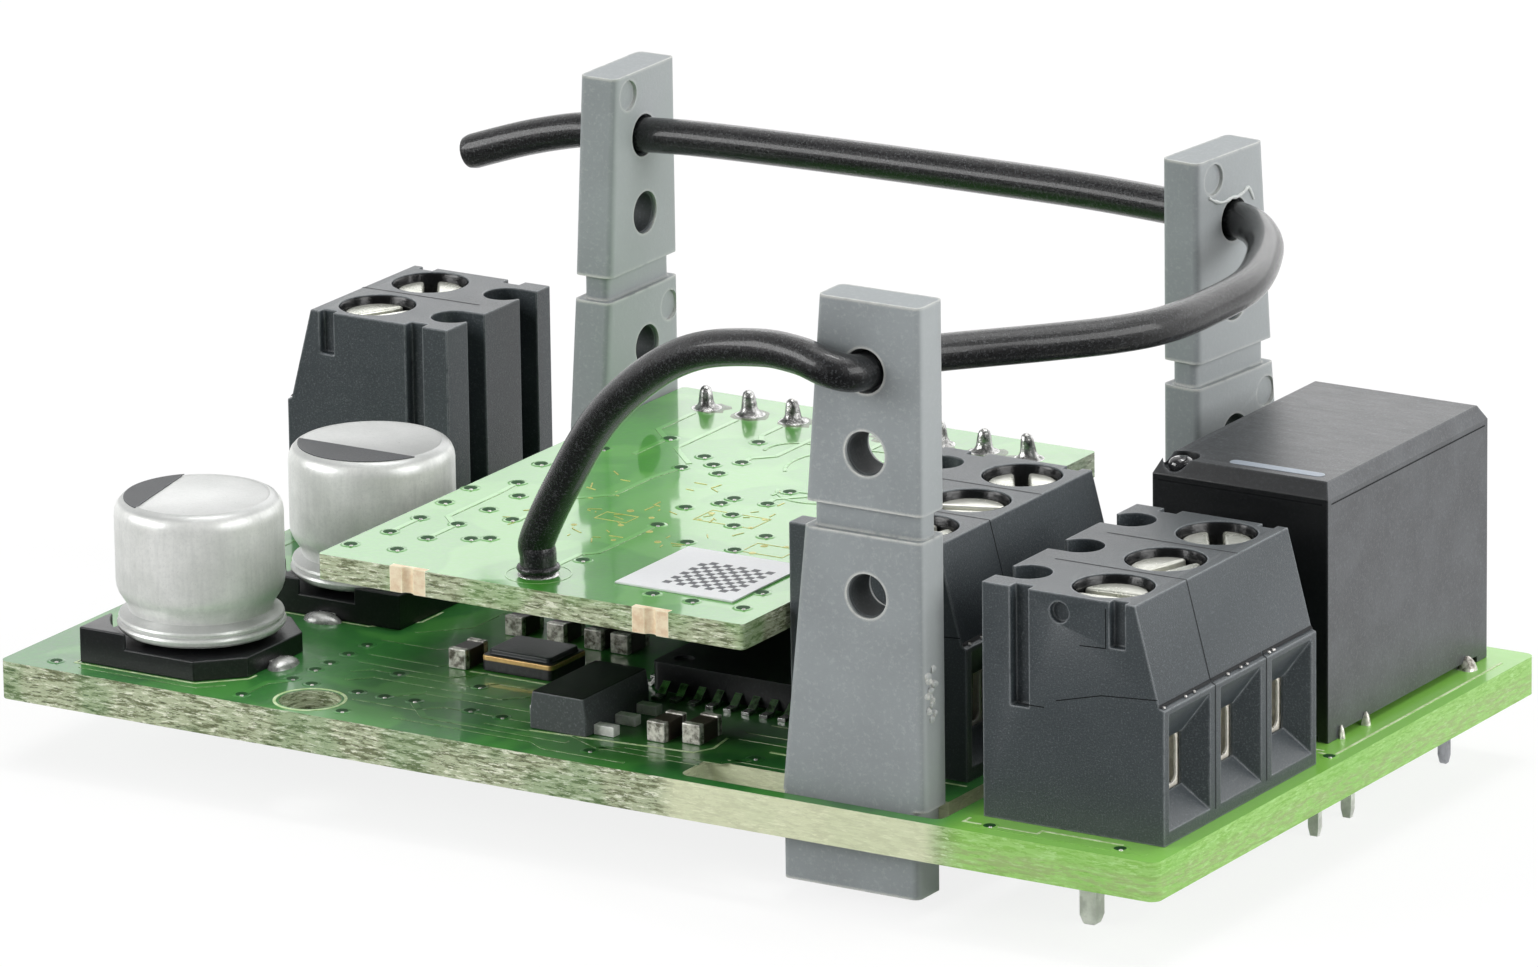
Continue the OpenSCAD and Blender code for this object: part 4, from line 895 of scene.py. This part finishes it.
def make_radio_joints():
    """Pointed joints of the pin strips, each a little different, on pads with flux; the aerial's joint."""
    rng = random.Random(21)
    bm = bmesh.new()
    for x in STRIP_X:
        swell = [1 + 0.07 * math.sin(3 * t + rng.uniform(0, 3)) for t in turns(22)]
        tall = rng.uniform(0.92, 1.04)
        lathe(bm, place(x, STRIP_Y, RADIO_TOP), [(r, h * tall) for r, h in JOINT], 22,
              (rng.uniform(-0.08, 0.08), rng.uniform(-0.08, 0.08)), swell)
    lathe(bm, place(*AERIAL, RADIO_TOP), AERIAL_JOINT, 26)
    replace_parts(add_piece("radio_joints", bm, "joint", angle=50), "radio_solder")
    rings, stains = bmesh.new(), bmesh.new()
    for x in STRIP_X:
        lathe(rings, place(x, STRIP_Y, RADIO_TOP - SUNK), [(0.62, 0), (0.60, 0.02), (0.5, 0.03)], 24)
        swell = [rng.uniform(0.75, 1.2) for _ in range(16)]
        spot = place(x + rng.uniform(-0.3, 0.3), STRIP_Y + rng.uniform(-0.35, 0.1), RADIO_TOP - SUNK)
        lathe(stains, spot, [(0.85, 0), (0.75, 0.014), (0.5, 0.02)], 16, swell=swell)
    add_piece("joint_pads", rings, "joint")
    add_piece("joint_flux", stains, "flux")


def make_boards():
    rewear("main_board", "board_green")
    rewear("radio_board", "radio_green")
    rewear("radio_edge_pads", "copper")
    for i in (1, 2):
        dressed(f"header_spacer_{i}", "black_plastic", 0.06)
    dressed("header_pins", "tinned", 0.04, 1)
    rewear("board_solder", "solder")
    make_vias("radio_vias", RADIO_VIAS, RADIO_TOP, "radio_green", 0.27)
    make_vias("main_vias", MAIN_VIAS, 0, "board_green", 0.24)
    make_traces("radio_traces", RADIO_TRACES, RADIO_TOP, "trace_green", 0.24)
    make_traces("main_traces", MAIN_TRACES, 0, "main_trace_green", 0.3)
    make_traces("main_fine_traces", FINE_TRACES, 0, "main_trace_green", 0.15)
    make_relief_arcs()
    make_gold_details()
    make_silkscreen()
    make_label()
    make_radio_joints()


# Terminal blocks

# In a block, u runs from its back to its wire side, v across its poles and z up
BLOCK_DEPTH = 7.62
BLOCK_TOP = 8.98
SLOPE_TOP = 6.42
LEDGE_Z = 5.25
PITCH = 3.81
POLE_INSET = 1.865
# Place of a block's corner, number of poles, and 1 or -1 for a wire side to the right or left
BLOCKS = {"front": (42.72, 1.8, 3, 1), "middle": (32.6, 4.885, 3, 1), "rear": (7.22, 28.26, 2, -1)}
# Block name and pole of each screw and cage, from number 1
POLES = [(name, pole) for name, block in BLOCKS.items() for pole in range(block[2])]


def block_point(name, pole, u, v, z):
    """Point of a block, with v from the middle of a pole."""
    x, y, _, turn = BLOCKS[name]
    return place(x + turn * u, y + turn * (POLE_INSET + pole * PITCH + v), z)


LINE_FRONT = BLOCK_DEPTH + LINE_LIFT
# Course of a split line over a block, as (u, z)
SPLIT_SIDE = [(0.9, BLOCK_TOP), (SLOPE_TOP, BLOCK_TOP), (LINE_FRONT - 0.2, LEDGE_Z),
              (LINE_FRONT, LEDGE_Z - 0.1), (LINE_FRONT, 0.4)]
SPLIT_HALF = 0.032
END_HALF = 0.02
END_LIFT = 0.005
# Hairlines on a block's end, as (u, z)
END_LINES = [
    [(1.55, 4.55), (2.6, 4.57)],
    [(3.1, 4.9), (5.0, 5.38), (7.35, 5.55)],
    [(4.1, 7.15), (5.2, 7.2), (5.2, 8.7)],
]
# Painted shade: dark strips along the edges of a wire entry and of the ledge over it, as (u, v, z)
ENTRY_STRIPS = [
    [(7.612, 1.5, 0.47), (7.54, 1.452, 0.56), (7.54, 1.452, 4.86), (7.612, 1.5, 4.97)],
    [(7.612, -1.5, 0.47), (7.612, 1.5, 0.47), (7.54, 1.452, 0.56), (7.54, -1.452, 0.56)],
    [(7.405, -1.85, 5.36), (7.405, 1.85, 5.36), (7.485, 1.85, 5.255), (7.485, -1.85, 5.255)],
]


def make_split_lines():
    """Hairlines between the poles and on the seen end, dark entry edges as painted shade, and bright bits on
    the ledge as painted highlights.
    """
    rng = random.Random(12)
    for name, (x, y, ways, turn) in BLOCKS.items():
        bm, glints = bmesh.new(), bmesh.new()
        for i in range(ways - 1):
            rows = [[bm.verts.new(block_point(name, i + 0.5, u, v, z + LINE_LIFT))
                     for v in (-SPLIT_HALF, SPLIT_HALF)] for u, z in SPLIT_SIDE]
            for k, (a, b) in enumerate(zip(rows, rows[1:])):
                # Only the first line runs down the slope
                if i == 0 or k != 1:
                    bm.faces.new([a[0], a[1], b[1], b[0]])
        for line in END_LINES:
            for a, b in zip(line, line[1:]):
                wide = Vector((a[1] - b[1], b[0] - a[0])).normalized() * END_HALF
                patch(bm, [place(x + turn * (u + side * wide.x), y - turn * END_LIFT, z + side * wide.y)
                           for (u, z), side in ((a, 1), (b, 1), (b, -1), (a, -1))])
        for i in range(ways):
            # Painted shade along the entry edges and the ledge
            for strip in ENTRY_STRIPS:
                patch(bm, [block_point(name, i, *point) for point in strip])
            # Painted highlights: bright beads where the moulding flash on the ledge catches the light
            for _ in range(3):
                lathe(glints, block_point(name, i, 7.5, rng.uniform(-1.7, 1.7), 5.24),
                      [(0.05, -0.03), (rng.uniform(0.05, 0.09), 0), (0.05, 0.05), (0, 0.06)], 8)
        add_piece(name + "_block_flash_glints", glints, "chip_end")
        add_piece(name + "_block_splits_and_shade", bm, "groove")


# Closed loop of frames of a cage's mouth: u, half width, foot, top and corner radius
LIP_RINGS = [
    (6.02, 1.3, 0.9, 4.6, 0.22), (6.55, 1.3, 0.9, 4.6, 0.22), (6.55, 0.88, 1.62, 3.5, 0.3),
    (6.43, 0.88, 1.62, 3.5, 0.3), (6.43, 1.18, 1.02, 4.48, 0.2), (6.02, 1.18, 1.02, 4.48, 0.2)]


def rounded_frame(half, low, high, corner):
    """Corner points of an upright rounded rectangle across a pole: (v, z) pairs."""
    points = []
    for v, z, start in ((half, high, 0), (-half, high, 90), (-half, low, 180), (half, low, 270)):
        centre = (v - math.copysign(corner, v), z - corner if z == high else z + corner)
        points += arc(centre, corner, start, start + 90, 5)
    return points


def make_cage_lips():
    """Sheet-metal mouth of each cage, seen through its wire entry, paler than the nickel of the cage as
    painted light.
    """
    for number, pole in enumerate(POLES, 1):
        bm = bmesh.new()
        skin(bm, [[block_point(*pole, u, v, z) for v, z in rounded_frame(*shape)]
                  for u, *shape in LIP_RINGS], looped=True)
        soften(add_piece(f"cage_mouth_{number}", bm, "cage_mouth", f"cage_{number}"), 0.03)


SHANK_R = 1.0
HEAD_R = 1.35
HEAD_FOOT = 7.42
SLOT_FLOOR = 8.1
HEAD_TOP = 8.68
SLOT_HALF = 0.27
SLOT_TURNS = (5, 72, 122, 75, 20, 122, 122, 60)


def screw_axis(number):
    """Board x and y of a screw's axis, and its tip's height."""
    low, high = ((corner - ORIGIN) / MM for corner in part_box(f"clamp_screw_{number}"))
    return (low.x + high.x) / 2, (low.y + high.y) / 2, low.z


def make_screw(number, slot_turn):
    """Slotted head as two rounded halves on a shank, round the node's own axis."""
    node = f"clamp_screw_{number}"
    x, y, tip = screw_axis(number)
    shank = bmesh.new()
    lathe(shank, place(x, y), [
        (0, tip), (SHANK_R - 0.2, tip), (SHANK_R, tip + 0.2), (SHANK_R, HEAD_FOOT), (HEAD_R, HEAD_FOOT),
        (HEAD_R, SLOT_FLOOR), (0, SLOT_FLOOR)], 32)
    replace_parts(add_piece(node + "_shank", shank, "nickel", f"screw_{number}"), node)
    head = bmesh.new()
    half_gap = math.degrees(math.asin(SLOT_HALF / HEAD_R))
    for start in (slot_turn, slot_turn + 180):
        outline = arc((x, y), HEAD_R, start + half_gap, start + 180 - half_gap, 16)
        prism(head, outline, SLOT_FLOOR - 0.05, HEAD_TOP)
    soften(add_piece(node + "_head", head, "nickel", f"screw_{number}"), 0.13, 3, 40)


# Closed loop of a well's dark lining, painted shade: radius and height
WELL_RINGS = [(1.505, 7.5), (1.505, 8.87), (1.47, 8.95), (1.42, 8.87), (1.42, 7.5)]


def make_well_shade_linings():
    """Glossy dark lining of each screw well, clear of the screw head: painted shade in the recess."""
    for name in BLOCKS:
        bm = bmesh.new()
        for number, (block, _) in enumerate(POLES, 1):
            if block == name:
                x, y, _ = screw_axis(number)
                skin(bm, [[place(x + math.cos(t) * r, y + math.sin(t) * r, z) for t in turns(48)]
                          for r, z in WELL_RINGS], looped=True)
        add_piece(name + "_block_well_shade", bm, "well_shade_wall")


ENTRY_PLANES = {6.52: 6.72, 6.2: 6.62}
ENTRY_LEVELS = {1.75: 1.52, 4.05: 3.55}
CAVITY_HALF = 1.53
END_TRIM = 0.08
PIP_AT = (3.25, 8.28)
PIP_R = 0.45
PIP_SUNK = 0.2
NEAR = 0.03


def recut_entries(bm, block):
    """Brings the wire entries forward to thin edges; the rear block's seen end loses its round mark."""
    x, y, ways, turn = block
    long = ways * PITCH - END_TRIM
    for v in bm.verts:
        at = (v.co - ORIGIN) / MM
        u, w = turn * (at.x - x), turn * (at.y - y)
        if turn < 0 and math.dist((u, at.z), PIP_AT) < PIP_R and PIP_SUNK < w < long - PIP_SUNK:
            v.co.y = place(0, y + turn * (0 if w < long / 2 else long)).y
        if min(abs(w - POLE_INSET - pole * PITCH) for pole in range(ways)) > CAVITY_HALF:
            continue
        for plane, moved in ENTRY_PLANES.items():
            if abs(u - plane) < NEAR:
                v.co.x = place(x + turn * moved, 0).x
                for level, changed in ENTRY_LEVELS.items():
                    if abs(at.z - level) < NEAR:
                        v.co.z = place(0, 0, changed).z


def make_terminals():
    for name, block in BLOCKS.items():
        dressed(name + "_terminal_housing", "charcoal_plastic", 0.09,
                reshape=lambda bm, block=block: recut_entries(bm, block))
        dressed(name + "_terminal_contacts", "tinned", 0.04, 1)
    for number, slot_turn in enumerate(SLOT_TURNS, 1):
        make_screw(number, slot_turn)
        dressed(f"clamp_cage_{number}", "nickel", 0.06)
    make_cage_lips()
    make_split_lines()
    make_well_shade_linings()


# Relay

RELAY_LEFT = 42.04
RELAY_RIGHT = 49.54
RELAY_FRONT = 15.5
RELAY_BACK = 28.0
RELAY_LID = 10.05


def make_relay():
    dressed("relay_cover", "relay_plastic", 0.2, 4)
    dressed("relay_base", "black_plastic", 0.06)
    dressed("relay_bobbin", "cream_plastic", 0.05, 1)
    rewear("relay_winding", "winding_copper")
    for part in ("core", "yoke", "armature"):
        dressed("relay_" + part, "iron", 0.04, 1)
    dressed("relay_contact_spring", "copper", 0.02, 1)
    dressed("relay_fixed_contacts", "tinned", 0.02, 1)
    dressed("relay_coil_pins", "tinned", 0.03, 1)
    make_lid_bar()
    make_vent_bead()
    make_foot_blobs()
    make_lid_seam()


# Place along y and radius of each blob, and its outline as (share of that radius, height)
FOOT_BLOBS = ((26.3, 0.42), (18.3, 0.2), (16.4, 0.16))
BLOB_X = 49.62
BLOB_OUTLINE = ((1, -0.01), (0.9, 0.12), (0.6, 0.35), (0.2, 0.5), (0, 0.52))


def make_foot_blobs():
    """Bits of bright solder that show at the foot of the relay."""
    rng = random.Random(9)
    bm = bmesh.new()
    for y, size in FOOT_BLOBS:
        swell = [rng.uniform(0.8, 1.15) for _ in range(14)]
        lathe(bm, place(BLOB_X, y), [(size * r, h) for r, h in BLOB_OUTLINE], 14, swell=swell)
    add_piece("relay_foot_blobs", bm, "chip_end", angle=50)


SEAM_Z = 9.25
SEAM_HALF = 0.03
SEAM_END = 0.25


def make_lid_seam():
    """Fine dark joint between the lid and the walls of the cover, on two sides."""
    side, front = RELAY_RIGHT + LINE_LIFT, RELAY_FRONT - LINE_LIFT
    bm = bmesh.new()
    for a, b in (((side, RELAY_FRONT + SEAM_END), (side, RELAY_BACK - SEAM_END)),
                 ((RELAY_LEFT + SEAM_END, front), (RELAY_RIGHT - SEAM_END, front))):
        patch(bm, [place(*point, SEAM_Z + up * SEAM_HALF)
                   for point, up in ((a, -1), (b, -1), (b, 1), (a, 1))])
    add_piece("relay_lid_seam", bm, "groove")


LID_BAR_X = (44.8, 48.8)
LID_BAR_Y = 16.55
LID_BAR_R = 0.24


def make_lid_bar():
    """Pale pill-shaped polarity bar on the lid."""
    outline = arc((LID_BAR_X[1] - LID_BAR_R, LID_BAR_Y), LID_BAR_R, -90, 90, 10)
    outline += arc((LID_BAR_X[0] + LID_BAR_R, LID_BAR_Y), LID_BAR_R, 90, 270, 10)
    bm = bmesh.new()
    prism(bm, outline, RELAY_LID - 0.02, RELAY_LID + 0.018)
    soften(add_piece("relay_lid_bar", bm, "lid_bar"), 0.015, 1)


# Vent bead outline, as shares of its radius and height
BEAD = ((0.92, 0), (1, 0.2), (0.97, 0.5), (0.82, 0.75), (0.5, 0.93), (0, 1))


def make_vent_bead():
    """Glossy domed bead of sealing resin in the corner notch of the lid."""
    low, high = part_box("relay_vent_seal")
    centre = (low + high) / 2
    centre.z = low.z
    size = (high - low) / MM
    bm = bmesh.new()
    lathe(bm, centre, [(size.x / 2 * r, size.z * h) for r, h in BEAD], 28)
    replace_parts(add_piece("relay_vent_bead", bm, "resin", angle=60), "relay_vent_seal")


# Capacitors

CAN_R = 3.25
CAN_TOP = 6.3
# Place, and middle and half angle of the printed half-moon
CANS = [((6.25, 4.7), 191, 56), ((8.0, 14.05), 270, 69)]
# Can outline from its foot to its top: inset from its radius, and height
CAN_PROFILE = [(CAN_R - inset, height) for inset, height in (
    (1.1, 0.8), (0.8, 0.93), (0.4, 1.0), (0.14, 1.1), (0.03, 1.23), (0, 1.34), (0.04, 1.43), (0.12, 1.48),
    (0.11, 1.54), (0.06, 1.6), (0.09, 1.69), (0.2, 1.76), (0.36, 1.82), (0.45, 1.9), (0.46, 2.0), (0.4, 2.15),
    (0.25, 2.38), (0.1, 2.62), (0.02, 2.85), (0, 3.05), (0, 5.6), (0.03, 5.84), (0.11, 6.04), (0.24, 6.19),
    (0.38, 6.27), (0.5, CAN_TOP), (0.56, CAN_TOP - 0.02), (0.6, CAN_TOP - 0.035), (CAN_R, CAN_TOP - 0.035))]
MARK_R = CAN_R - 0.38


def make_capacitors():
    """Turned cans with a pressed neck, a rolled shoulder and a printed half-moon that carries no text."""
    for i, ((x, y), facing, half) in enumerate(CANS, 1):
        bm = bmesh.new()
        lathe(bm, place(x, y), CAN_PROFILE, 72)
        can = add_piece(f"capacitor_{i}_can", bm, "can_aluminium")
        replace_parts(can, f"capacitor_can_{i}")
        mark = bmesh.new()
        prism(mark, arc((x, y), MARK_R, facing - half, facing + half, 24), CAN_TOP - 0.06, CAN_TOP + 0.008)
        add_piece(f"capacitor_{i}_mark", mark, "can_print")
        dressed(f"capacitor_base_{i}", "black_plastic", 0.08)
    dressed("capacitor_leads", "tinned", 0.03, 1)
    make_lead_fillets()


# Place and half sizes of each fillet
FILLETS = [((2.55, 4.7), 0.50, 0.85), ((9.95, 4.7), 0.50, 0.85), ((8.0, 10.35), 0.85, 0.50),
           ((8.0, 17.75), 0.85, 0.50)]
FILLET_OUTLINE = [(1.0, 0), (0.97, 0.07), (0.86, 0.17), (0.66, 0.27), (0.38, 0.33), (0, 0.35)]


def make_lead_fillets():
    """Bright blobs of solder where the capacitor leads meet their pads."""
    rng = random.Random(5)
    bm = bmesh.new()
    for (x, y), long, wide in FILLETS:
        swell = [long * wide / math.hypot(wide * math.cos(t), long * math.sin(t)) * rng.uniform(0.96, 1.04)
                 for t in turns(26)]
        lathe(bm, place(x, y, -SUNK), FILLET_OUTLINE, 26, swell=swell)
    add_piece("lead_fillets", bm, "solder", angle=60)


# Aerial

# Where each holder's blade starts, and its direction in degrees. The start is a corner of the blade, but
# for the right holder it is the middle of the blade's edge.
HOLDERS = {"front": (40.75, 2.6, 180), "left": (11.7, 28.05, -90), "right": (38.7, 23.5, 84.5)}
NECK_LOW = 10.33
NECK_HIGH = 11.31
NECK_SLACK = 0.05
# From, to and move along the blade of the points on each side of the neck
NECK_SIDES = ((0.4, 1.1, -0.3), (3.9, 4.6, 0.3))
# Heights of the eyes, and their place along a blade
EYES = (8.0, 13.42, 16.55)
TOP_EYE = EYES[-1]
EYE_U = 2.4
EYE_R = 0.85
HOLDER_HALF = 0.85


def holder_ways(side):
    """Directions along and across a holder's blade."""
    turn = math.radians(HOLDERS[side][2])
    return Vector((math.cos(turn), math.sin(turn), 0)), Vector((-math.sin(turn), math.cos(turn), 0))


def eye_place(side, height, across=0.0):
    """Point on the axis of an eye at a height, or beside the blade's middle plane."""
    along, away = holder_ways(side)
    off = across + (0 if side == "right" else HOLDER_HALF)
    return place(*HOLDERS[side][:2], height) + (along * EYE_U + away * off) * MM


def widen_neck(bm, side):
    """Brings the sides of the break-off neck out to just inside the blades."""
    at = place(*HOLDERS[side][:2])
    along, _ = holder_ways(side)
    for v in bm.verts:
        if not NECK_LOW - NECK_SLACK < (v.co.z - ORIGIN.z) / MM < NECK_HIGH + NECK_SLACK:
            continue
        u = (v.co - at).dot(along) / MM
        for low, high, move in NECK_SIDES:
            if low < u < high:
                v.co += along * move * MM


def make_holders():
    for side in HOLDERS:
        dressed("antenna_holder_" + side, "grey_plastic", 0.12, 3,
                reshape=lambda bm, side=side: widen_neck(bm, side))
    make_gate_vestige()
    make_eye_flash()
    make_eye_walls()


# Flash over the right holder's top eye, as (along the blade, up) from the eye
EYE_FLASH = [(-1.71, 1.2), (-1.35, 0.99), (-0.91, 0.84), (-0.52, 0.82), (-0.19, 0.88), (0.17, 0.84),
             (0.58, 0.92), (0.86, 1.05), (1.04, 0.88), (1.25, 0.52)]
FLASH_OFF = -0.87


def make_eye_flash():
    """Thin torn flash of plastic above the right holder's top eye."""
    rng = random.Random(4)
    along, _ = holder_ways("right")
    line = spline([eye_place("right", TOP_EYE + h, FLASH_OFF) + along * u * MM for u, h in EYE_FLASH], 5)
    bm = bmesh.new()
    tube(bm, line, [rng.uniform(0.045, 0.085) * MM for _ in line], 10)
    add_piece("eye_flash", bm, "flash", angle=60)


# Closed loop of an eye's dark lining, painted shade: radius and place across the blade
EYE_RINGS = [(EYE_R - 0.02, -0.70), (EYE_R - 0.02, 0.70), (EYE_R - 0.06, 0.66), (EYE_R - 0.06, -0.66)]


def make_eye_walls():
    """Painted shade: a dark lining on the wall of each holder eye."""
    bm = bmesh.new()
    for side in HOLDERS:
        along, _ = holder_ways(side)
        for eye in EYES:
            skin(bm, [[eye_place(side, eye + math.sin(t) * r, off) + along * math.cos(t) * r * MM
                       for t in turns(40)] for r, off in EYE_RINGS], looped=True)
    add_piece("holder_eye_walls", bm, "eye_shade_wall")


GATE_X = 40.72
GATE_Y = 1.42
GATE_TOP = 5.4
GATE_STEP = 0.19
GATE_LUMPS = 11
GATE_LUMP = [(0.08, -0.14), (0.16, -0.06), (0.17, 0.05), (0.10, 0.13), (0, 0.16)]


def make_gate_vestige():
    """Torn-off moulding gate on the right side of the front holder."""
    rng = random.Random(3)
    bm = bmesh.new()
    for i in range(GATE_LUMPS):
        swell = [rng.uniform(0.6, 1.25) for _ in range(12)]
        lathe(bm, place(GATE_X, GATE_Y + rng.uniform(-0.22, 0.22), GATE_TOP - GATE_STEP * i), GATE_LUMP, 12,
              swell=swell)
    add_piece("holder_gate_vestige", bm, "grey_plastic", angle=50)


WIRE_R = 0.7
WIRE_SIDES = 24
WIRE_STEPS = 8
WIRE_FOOT = RADIO_TOP + 0.2
# Line across the front holder from which its stretch of the route is set out
FRONT_ROUTE_Y = 0.9


def wire_route():
    """The route of the source's wire: the aerial hole, then the front, right and left top eyes."""
    along, _ = holder_ways("right")
    slip = along.x
    x, y, _ = HOLDERS["right"]
    right = (x + EYE_U * slip, y + EYE_U * along.y, TOP_EYE)
    x, y, _ = HOLDERS["left"]
    left = (x + HOLDER_HALF, y - EYE_U, TOP_EYE)
    front = (HOLDERS["front"][0] - EYE_U, FRONT_ROUTE_Y, TOP_EYE)
    legs = {
        (*AERIAL, WIRE_FOOT): [(0, 0, 0), (0, 0, 0.6), (0, 0, 1.2)],
        (*AERIAL, TOP_EYE): [(1.27, -0.4, -7.25), (3.55, -1.1, -4.05), (6.3, -1.9, -1.65)],
        front: [
            (-7.15, 0.2, -0.25), (-4.15, -0.5, 0.45), (-2.2, -0.9, 0.52), (-0.95, -1.12, 0.3),
            (-0.22, -0.8, 0.1), (0, -0.05, 0), (0, 0.85, 0), (0.08, 1.9, 0), (1.1, 3.7, -0.05),
            (3.8, 6.7, -0.05), (5.5, 8.86, -0.05), (6.4, 10.9, -0.05), (6.63, 13.4, -0.05)],
        right: [
            (5.8, -7.8, -0.05), (4.1, -3.5, -0.05), (2.45, -1.1, -0.03), (1.1, -1.1 * slip - 0.03, 0),
            (0, 0, 0), (-1.3, 1.3 * slip, 0.04), (-5.4, 0.1, 0.2), (-9.8, 0, 0.25)],
        left: [
            (9.8, 0.1, 0.25), (3.6, 0, 0.17), (1.1, 0, 0.04), (0, 0, 0), (-1.1, 0, -0.05), (-2.3, 0, -0.2),
            (-4.6, 0, -0.8), (-7.3, 0, -1.72)],
    }
    return [place(*(a + b for a, b in zip(start, step))) for start, steps in legs.items() for step in steps]


COLLAR = [(0.66, 0), (0.80, 0.02), (0.84, 0.10), (0.80, 0.2), (0.71, 0.24)]


def make_wire():
    """Round insulation with a softly cut end, bare core end and a collar at its foot."""
    line = spline(wire_route(), WIRE_STEPS)
    radii = [WIRE_R * MM] * len(line)
    radii[0] = radii[-1] = WIRE_R * 0.93 * MM
    bm = bmesh.new()
    tube(bm, line, radii, WIRE_SIDES)
    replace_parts(add_piece("aerial_wire", bm, "wire_skin", angle=50), "antenna_wire")
    rewear("antenna_core", "copper")
    collar = bmesh.new()
    lathe(collar, place(*AERIAL, RADIO_TOP + 0.16), COLLAR, 28)
    add_piece("wire_foot_flare", collar, "wire_skin", angle=50)


# Small parts

def make_small_parts():
    dressed("clock_crystal", "crystal_can", 0.07)
    dressed("voltage_regulator", "regulator_plastic", 0.07)
    dressed("regulator_leads", "tinned", 0.04)
    dressed("chip_bodies", "chip_brown", 0.04)
    dressed("chip_ends", "chip_end", 0.05)
    dressed("microcontroller", "black_plastic", 0.05)
    dressed("microcontroller_leads", "joint", 0.02, 1)
    dressed("radio_chip", "black_plastic", 0.05)


bpy.context.scene.view_settings.view_transform = "Standard"
make_camera()
make_floor()
make_world()
make_lights()
MATERIALS = make_materials()
make_boards()
make_terminals()
make_relay()
make_capacitors()
make_holders()
make_wire()
make_small_parts()
